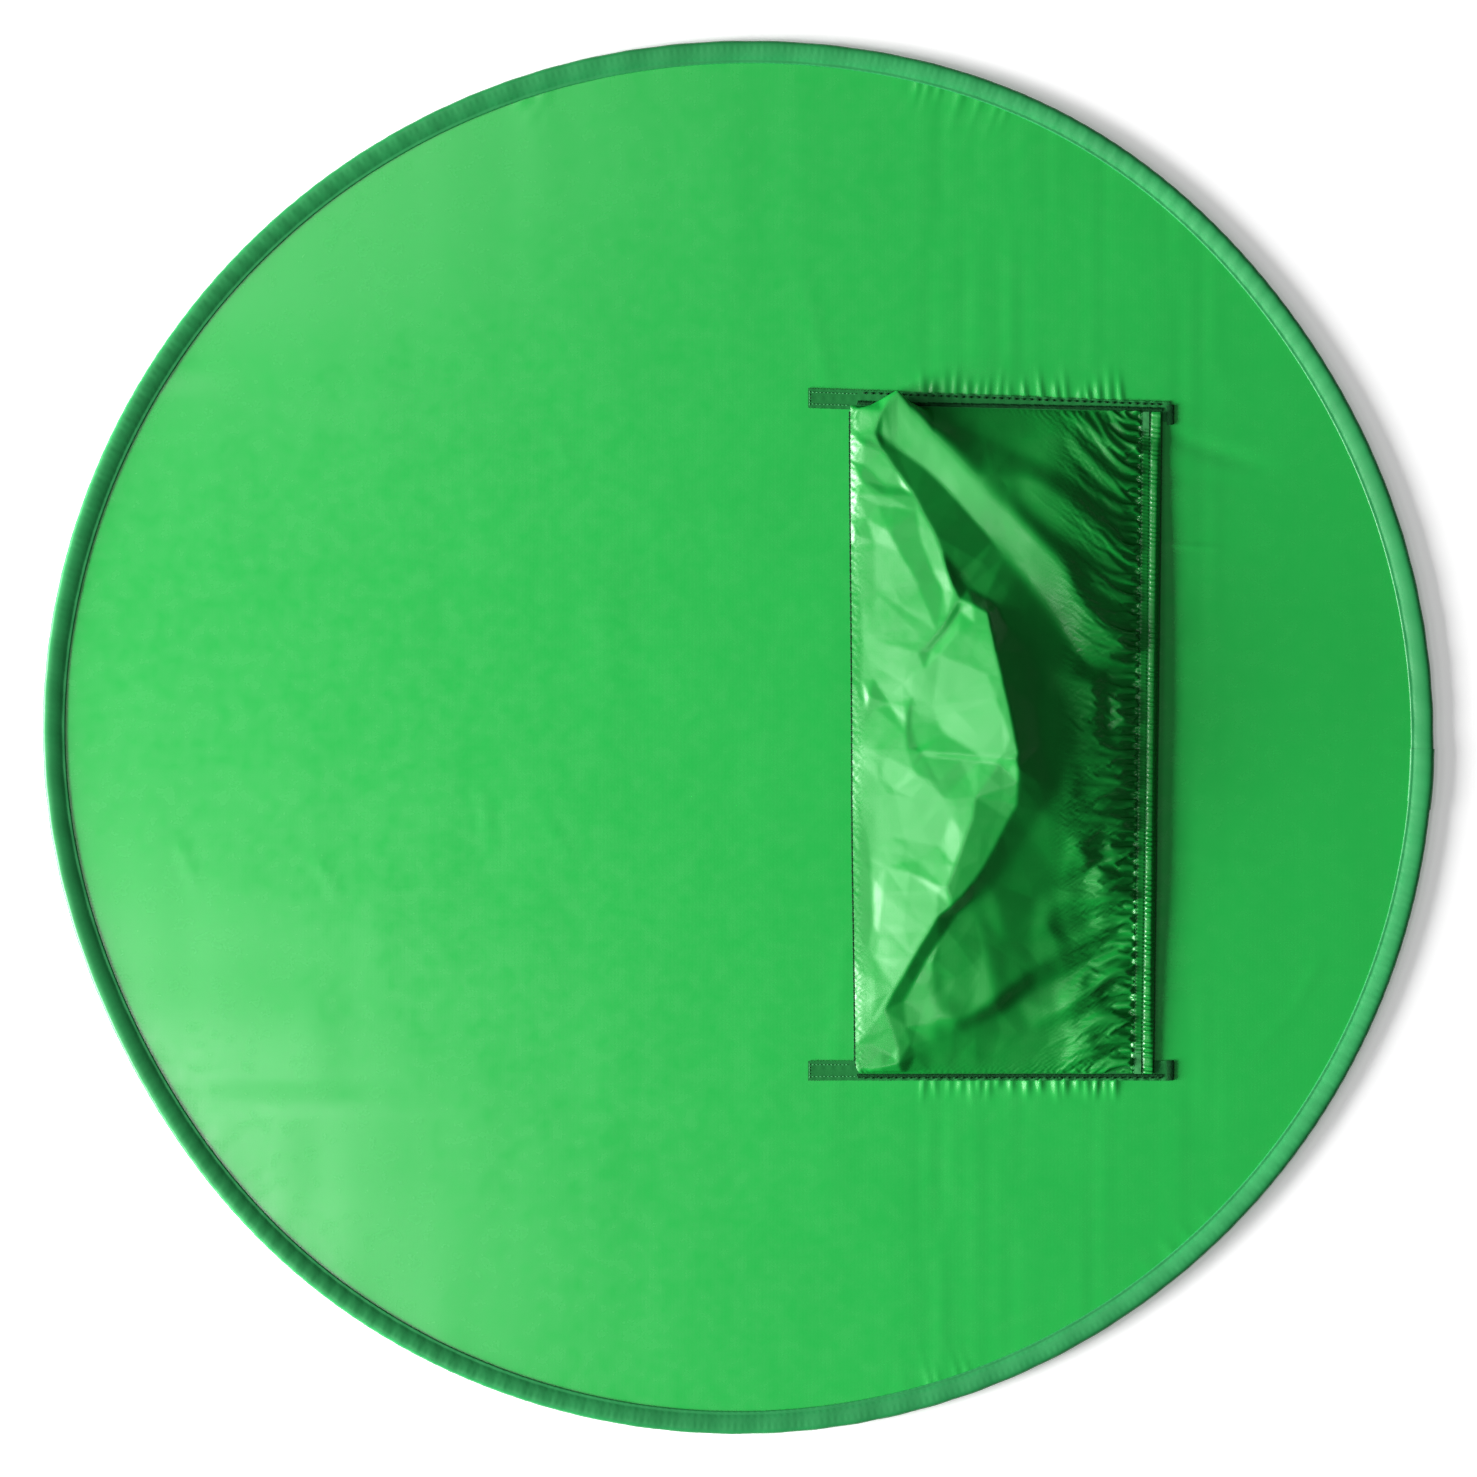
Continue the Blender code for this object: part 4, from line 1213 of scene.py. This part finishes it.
def settled_ply(target, x, y):
    """The ply with its gathers, puckers and creases, from a coarse grid to the full one."""
    rows, columns = target.shape[:2]
    change = None
    for skip, gathers, puckers, bend, rounds in STAGES:
        size = (rows // skip + 1, columns // skip + 1) if skip > 1 else (rows, columns)
        coarse = resampled(target, *size)
        gx, gy = np.meshgrid(np.linspace(x[0], x[-1], size[1]), np.linspace(y[0], y[-1], size[0]))
        noise = np.random.default_rng(SEED + skip).normal(0.0, 0.00012 * skip, size) * interior(size)
        if gathers:
            noise += mouth_ripple(gx, gy, skip)
        start = coarse + grid_normals(coarse) * noise[..., None]
        if change is not None:
            start = start + resampled(change, *size)
        spare = spare_cloth(gx, gy, gathers, puckers)
        change = relaxed(coarse, start, spare, hold(gx), bend, rounds) - coarse
    return target + change


FOLDED, PLY_X, PLY_Y = ply_grid()
PLY = settled_ply(FOLDED, PLY_X, PLY_Y)
PLY_NORMALS = grid_normals(PLY)
HEM_COLUMN = int(round((GATHER_X - CLOSED_X) / PLY_STEP))
SPLIT_ROW = int(round((SPLIT_Y - LOWER_Y) / PLY_STEP))


def build_ply():
    for half, rows in (("upper", slice(SPLIT_ROW, None)), ("lower", slice(0, SPLIT_ROW + 1))):
        grid = PLY[rows, : HEM_COLUMN + 1]
        normals = PLY_NORMALS[rows, : HEM_COLUMN + 1]
        piece = cloth_solid(f"pocket_ply_{half}", grid, PLY_THICKNESS, pocket_material, normals)
        fit(piece, "pocket_panel", half)


# ---- pocket: the mouth's hem ----

HEM_GAP = 0.0024
# Places of the two rows of stitches, and the width of the groove along each, as a share of the hem.
ROW_INNER, ROW_OUTER = 0.17, 0.56
ROW_GROOVE = 0.055


def hem_swell(t, y):
    """How far the hem stands up: rungs between its two rows of stitches, uneven ruffles beyond them."""
    sag = 0.25 * np.sin(y / 0.013) + 0.35 * np.sin(y / 0.031 + 1.0)
    rungs = np.sin(2 * math.pi * (y / 0.0038 + sag))
    beyond = np.sin(2 * math.pi * (y / 0.0052 - sag) + 3.0 * t) * np.sin(y / 0.011 + 2.0 * np.sin(y / 0.047))
    between = smoothstep(t, ROW_INNER - 0.06, ROW_INNER + 0.06)
    between = between * (1.0 - smoothstep(t, ROW_OUTER - 0.08, ROW_OUTER))
    free = smoothstep(t, ROW_OUTER, ROW_OUTER + 0.10)
    lower = 0.4 + 0.6 * smoothstep(-y, 0.02, 0.14)
    rows = bell(t - ROW_INNER, ROW_GROOVE) + bell(t - ROW_OUTER, ROW_GROOVE)
    swell = 0.0006 + 0.0006 * smoothstep(t, 0.35, 0.85) + 0.00040 * rungs * between
    swell += 0.0011 * beyond * free * lower + 0.0021 * smoothstep(t, ROW_OUTER - 0.06, 1.0)
    return swell * (1.0 - 0.75 * np.clip(rows, 0.0, 1.0)) * smoothstep(t, 0.0, 0.12)


def build_hem():
    """A folded casing: the ply's edge turned under, with the elastic strip inside it."""
    rows = 2 * len(PLY_Y) - 1
    top = resampled(PLY[:, HEM_COLUMN:], rows, 2 * (len(PLY_X) - HEM_COLUMN) - 1)
    share = np.linspace(0.0, 1.0, top.shape[1])
    along = np.linspace(PLY_Y[0], PLY_Y[-1], rows)
    swell = hem_swell(share[None, :], along[:, None])
    top[..., 2] += swell
    turn = np.linspace(0.0, math.pi, 7)[1:-1]
    radius = HEM_GAP / 2
    arc = np.repeat(top[:, -1:], len(turn), axis=1)
    arc[..., 0] += radius * np.sin(turn)
    arc[..., 2] -= radius * (1.0 - np.cos(turn))
    under = top[:, ::-1].copy()
    under[..., 2] -= HEM_GAP + swell[:, ::-1] * 0.7
    grid = np.concatenate([top, arc, under], axis=1)
    normals = grid_normals(grid)
    normals[:, 0] = resampled(PLY_NORMALS[:, HEM_COLUMN : HEM_COLUMN + 2], rows, 2)[:, 0]
    split = 2 * SPLIT_ROW
    for half, part in (("upper", slice(split, rows)), ("lower", slice(0, split + 1))):
        name = f"pocket_hem_{half}"
        piece = cloth_solid(name, grid[part], PLY_THICKNESS, pocket_material, normals[part])
        fit(piece, "pocket_mouth_hem", half)
        build_elastic(half, top[part])
        for row, place in (("inner", ROW_INNER), ("outer", ROW_OUTER)):
            path = top[part, int(np.argmin(np.abs(share - place)))]
            row_piece = stitch_row(f"hem_row_{row}_{half}", path, HEM_STITCH, light_thread)
            fit(row_piece, f"hem_stitch_{row}", half)


def build_elastic(half, strip):
    """The flat elastic inside the hem, between the two rows of stitches."""
    columns = np.linspace(0.22, 0.50, 6) * (strip.shape[1] - 1)
    grid = strip[:, columns.astype(int)].copy()
    grid[..., 2] = strip[:, -1, 2][:, None] - HEM_GAP / 2 - 0.0002
    grid[..., 2] = blurred(grid[..., 2], 8.0)
    piece = cloth_solid(f"hem_elastic_{half}", grid, TAPE_THICKNESS, elastic_material)
    add_run(piece, grid[..., 1], grid[..., 0], grid[..., 2])
    fit(piece, "mouth_elastic", half)


build_ply()
build_hem()


# ---- side tapes, seams and tacks ----


def tape_centre(side, x):
    if side == "upper":
        return UPPER_TAPE_Y + UPPER_TAPE_SLOPE * (x - TAPE_MIDDLE_X)
    return np.full(np.shape(x), LOWER_TAPE_Y)


def seam_line(side, x):
    if side == "upper":
        return UPPER_Y + UPPER_SEAM_SLOPE * (x - CLOSED_X)
    return np.full(np.shape(x), LOWER_Y)


def tape_surface(x, outward):
    """Height of a side tape's upper face: it ripples where the pocket's seam gathers it."""
    gathered = smoothstep(x, 0.125, 0.200)
    ripple = np.sin(x * 2 * math.pi / 0.0125 + 1.5 * np.sin(x * 61.0)) * 0.5 + 0.5
    edge = (outward / (TAPE_WIDTH / 2)) ** 2
    return TAPE_TOP + 0.0001 + gathered * ripple * 0.0007 * edge


def build_tape(side):
    x = np.arange(TAPE_START_X, TAPE_END_X, 0.0011)
    outward = np.linspace(-TAPE_WIDTH / 2, TAPE_WIDTH / 2, 17)
    ragged = 0.0003 * np.sin(x * 2100.0) + 0.0002 * np.sin(x * 3700.0)
    gx, go = np.meshgrid(x, outward)
    go = go + ragged * (np.abs(go) > TAPE_WIDTH / 2 - 0.0005)
    ribs = 0.00012 * np.sin(go * 2 * math.pi / 0.0025)
    grid = xyz(gx, tape_centre(side, gx) + SIGN[side] * go, tape_surface(gx, go) + ribs)
    if side == "lower":
        grid = grid[::-1]
    tape = cloth_solid(f"{side}_tape", grid, TAPE_THICKNESS, tape_material)
    add_run(tape, grid[..., 0], grid[..., 1])
    fit(tape, f"{side}_side_tape")


def tape_row(side, name, node, start, end, outward, kind, material):
    """A row of stitches along a side tape, at a distance outward from its middle."""
    x = np.linspace(start, end, 200)
    path = xyz(x, tape_centre(side, x) + SIGN[side] * outward, tape_surface(x, outward) + 0.0001)
    row = stitch_row(f"{side}_row_{name}", path, kind, material)
    fit(row, f"{side}_tape_stitch_{node}")


# The overlock is packed close in dark thread to paint the shaded band along the ply's seam, as well as to
# draw the real stitching.
OVERLOCK_PITCH, OVERLOCK_RADIUS = 0.0013, 0.00075
TACK_PITCH, TACK_RADIUS = 0.00075, 0.00046


def build_overlock_and_shade(side, seed):
    """Close slanting stitches over the seam that joins the ply to its tape: real overlock in dark thread,
    packed close to paint the shaded band along the seam.
    """
    x = np.arange(0.122, 0.433, OVERLOCK_PITCH)
    edge = seam_line(side, x)
    reach = np.random.default_rng(seed).uniform(0.0040, 0.0050, len(x))
    z = tape_surface(x, 0.004) + 0.0003
    starts = xyz(x, edge + SIGN[side] * 0.0004, z + 0.0002)
    ends = xyz(x + 0.0014, edge + SIGN[side] * reach, z)
    row = stitches(f"{side}_seam_overlock_and_shade", starts, ends, OVERLOCK_RADIUS, dark_thread_and_shade)
    fit(row, f"{side}_side_seam_stitch")


def build_end_tack(side):
    """The cross row at a tape's free end."""
    low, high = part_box(f"{side}_tape_end_tack")
    path = xyz((low.x + high.x) / 2, np.linspace(low.y, high.y, 30), TAPE_TOP + 0.0002)
    row = stitch_row(f"{side}_end_row", path, END_STITCH, light_thread)
    fit(row, f"{side}_tape_end_tack")


def build_mouth_tack(side):
    """A bar tack: a dense block of close cross stitches over two long ones."""
    low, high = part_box(f"{side}_mouth_tack")
    y = np.arange(low.y, high.y, TACK_PITCH)
    wobble = np.random.default_rng(50).uniform(-0.0005, 0.0005, (2, len(y)))
    z = TAPE_TOP + 0.0007
    long_x = np.array([low.x + 0.0022, high.x - 0.0022])
    starts = np.concatenate([
        xyz(low.x + 0.0005 + wobble[0], y, z),
        xyz(long_x, low.y, TAPE_TOP + 0.0003),
    ])
    ends = np.concatenate([
        xyz(high.x - 0.0005 + wobble[1], y + 0.0005, z + 0.0001),
        xyz(long_x, high.y, TAPE_TOP + 0.0003),
    ])
    tack = stitches(f"{side}_bar_tack", starts, ends, TACK_RADIUS, dark_thread_and_shade)
    fit(tack, f"{side}_mouth_tack")


def build_side(side, seed):
    build_tape(side)
    tape_row(side, "outer", "outer", 0.0755, 0.122, 0.006, TAPE_STITCH, light_thread)
    # The gathered row also paints the shade in the gaps between the screen's puckers beside the tape.
    tape_row(side, "gathered", "outer", 0.126, 0.434, 0.0072, GATHERED_STITCH_AND_SHADE, dark_thread_and_shade)
    tape_row(side, "inner", "inner", 0.0755, 0.1135, -0.006, TAPE_STITCH, light_thread)
    build_overlock_and_shade(side, seed)
    build_end_tack(side)
    build_mouth_tack(side)


def build_closed_end():
    """The seam along the closed end: its thread in the groove, thick and almost gapless so that it also
    paints the groove's shade, and the ply's turned-under edge.
    """
    ends = int(0.006 / PLY_STEP)
    path = PLY[ends:-ends, 0] + np.array([-0.0010, 0.0, 0.0])
    path[:, 2] = SCREEN_TOP + 0.0003
    seam = stitch_row("closed_end_row_and_shade", path, CLOSED_STITCH_AND_SHADE, dark_thread_and_shade)
    fit(seam, "closed_end_stitch")
    low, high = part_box("closed_end_turning")
    gx, gy = np.meshgrid(np.linspace(low.x, high.x, 9), np.linspace(low.y, high.y, 300))
    grid = xyz(gx, gy, high.z - 0.0001 + 0.0001 * np.sin(gy * 700.0))
    turning = cloth_solid("turned_edge", grid, PLY_THICKNESS, pocket_material)
    fit(turning, "closed_end_turning")


build_side("upper", 40)
build_side("lower", 41)
build_closed_end()
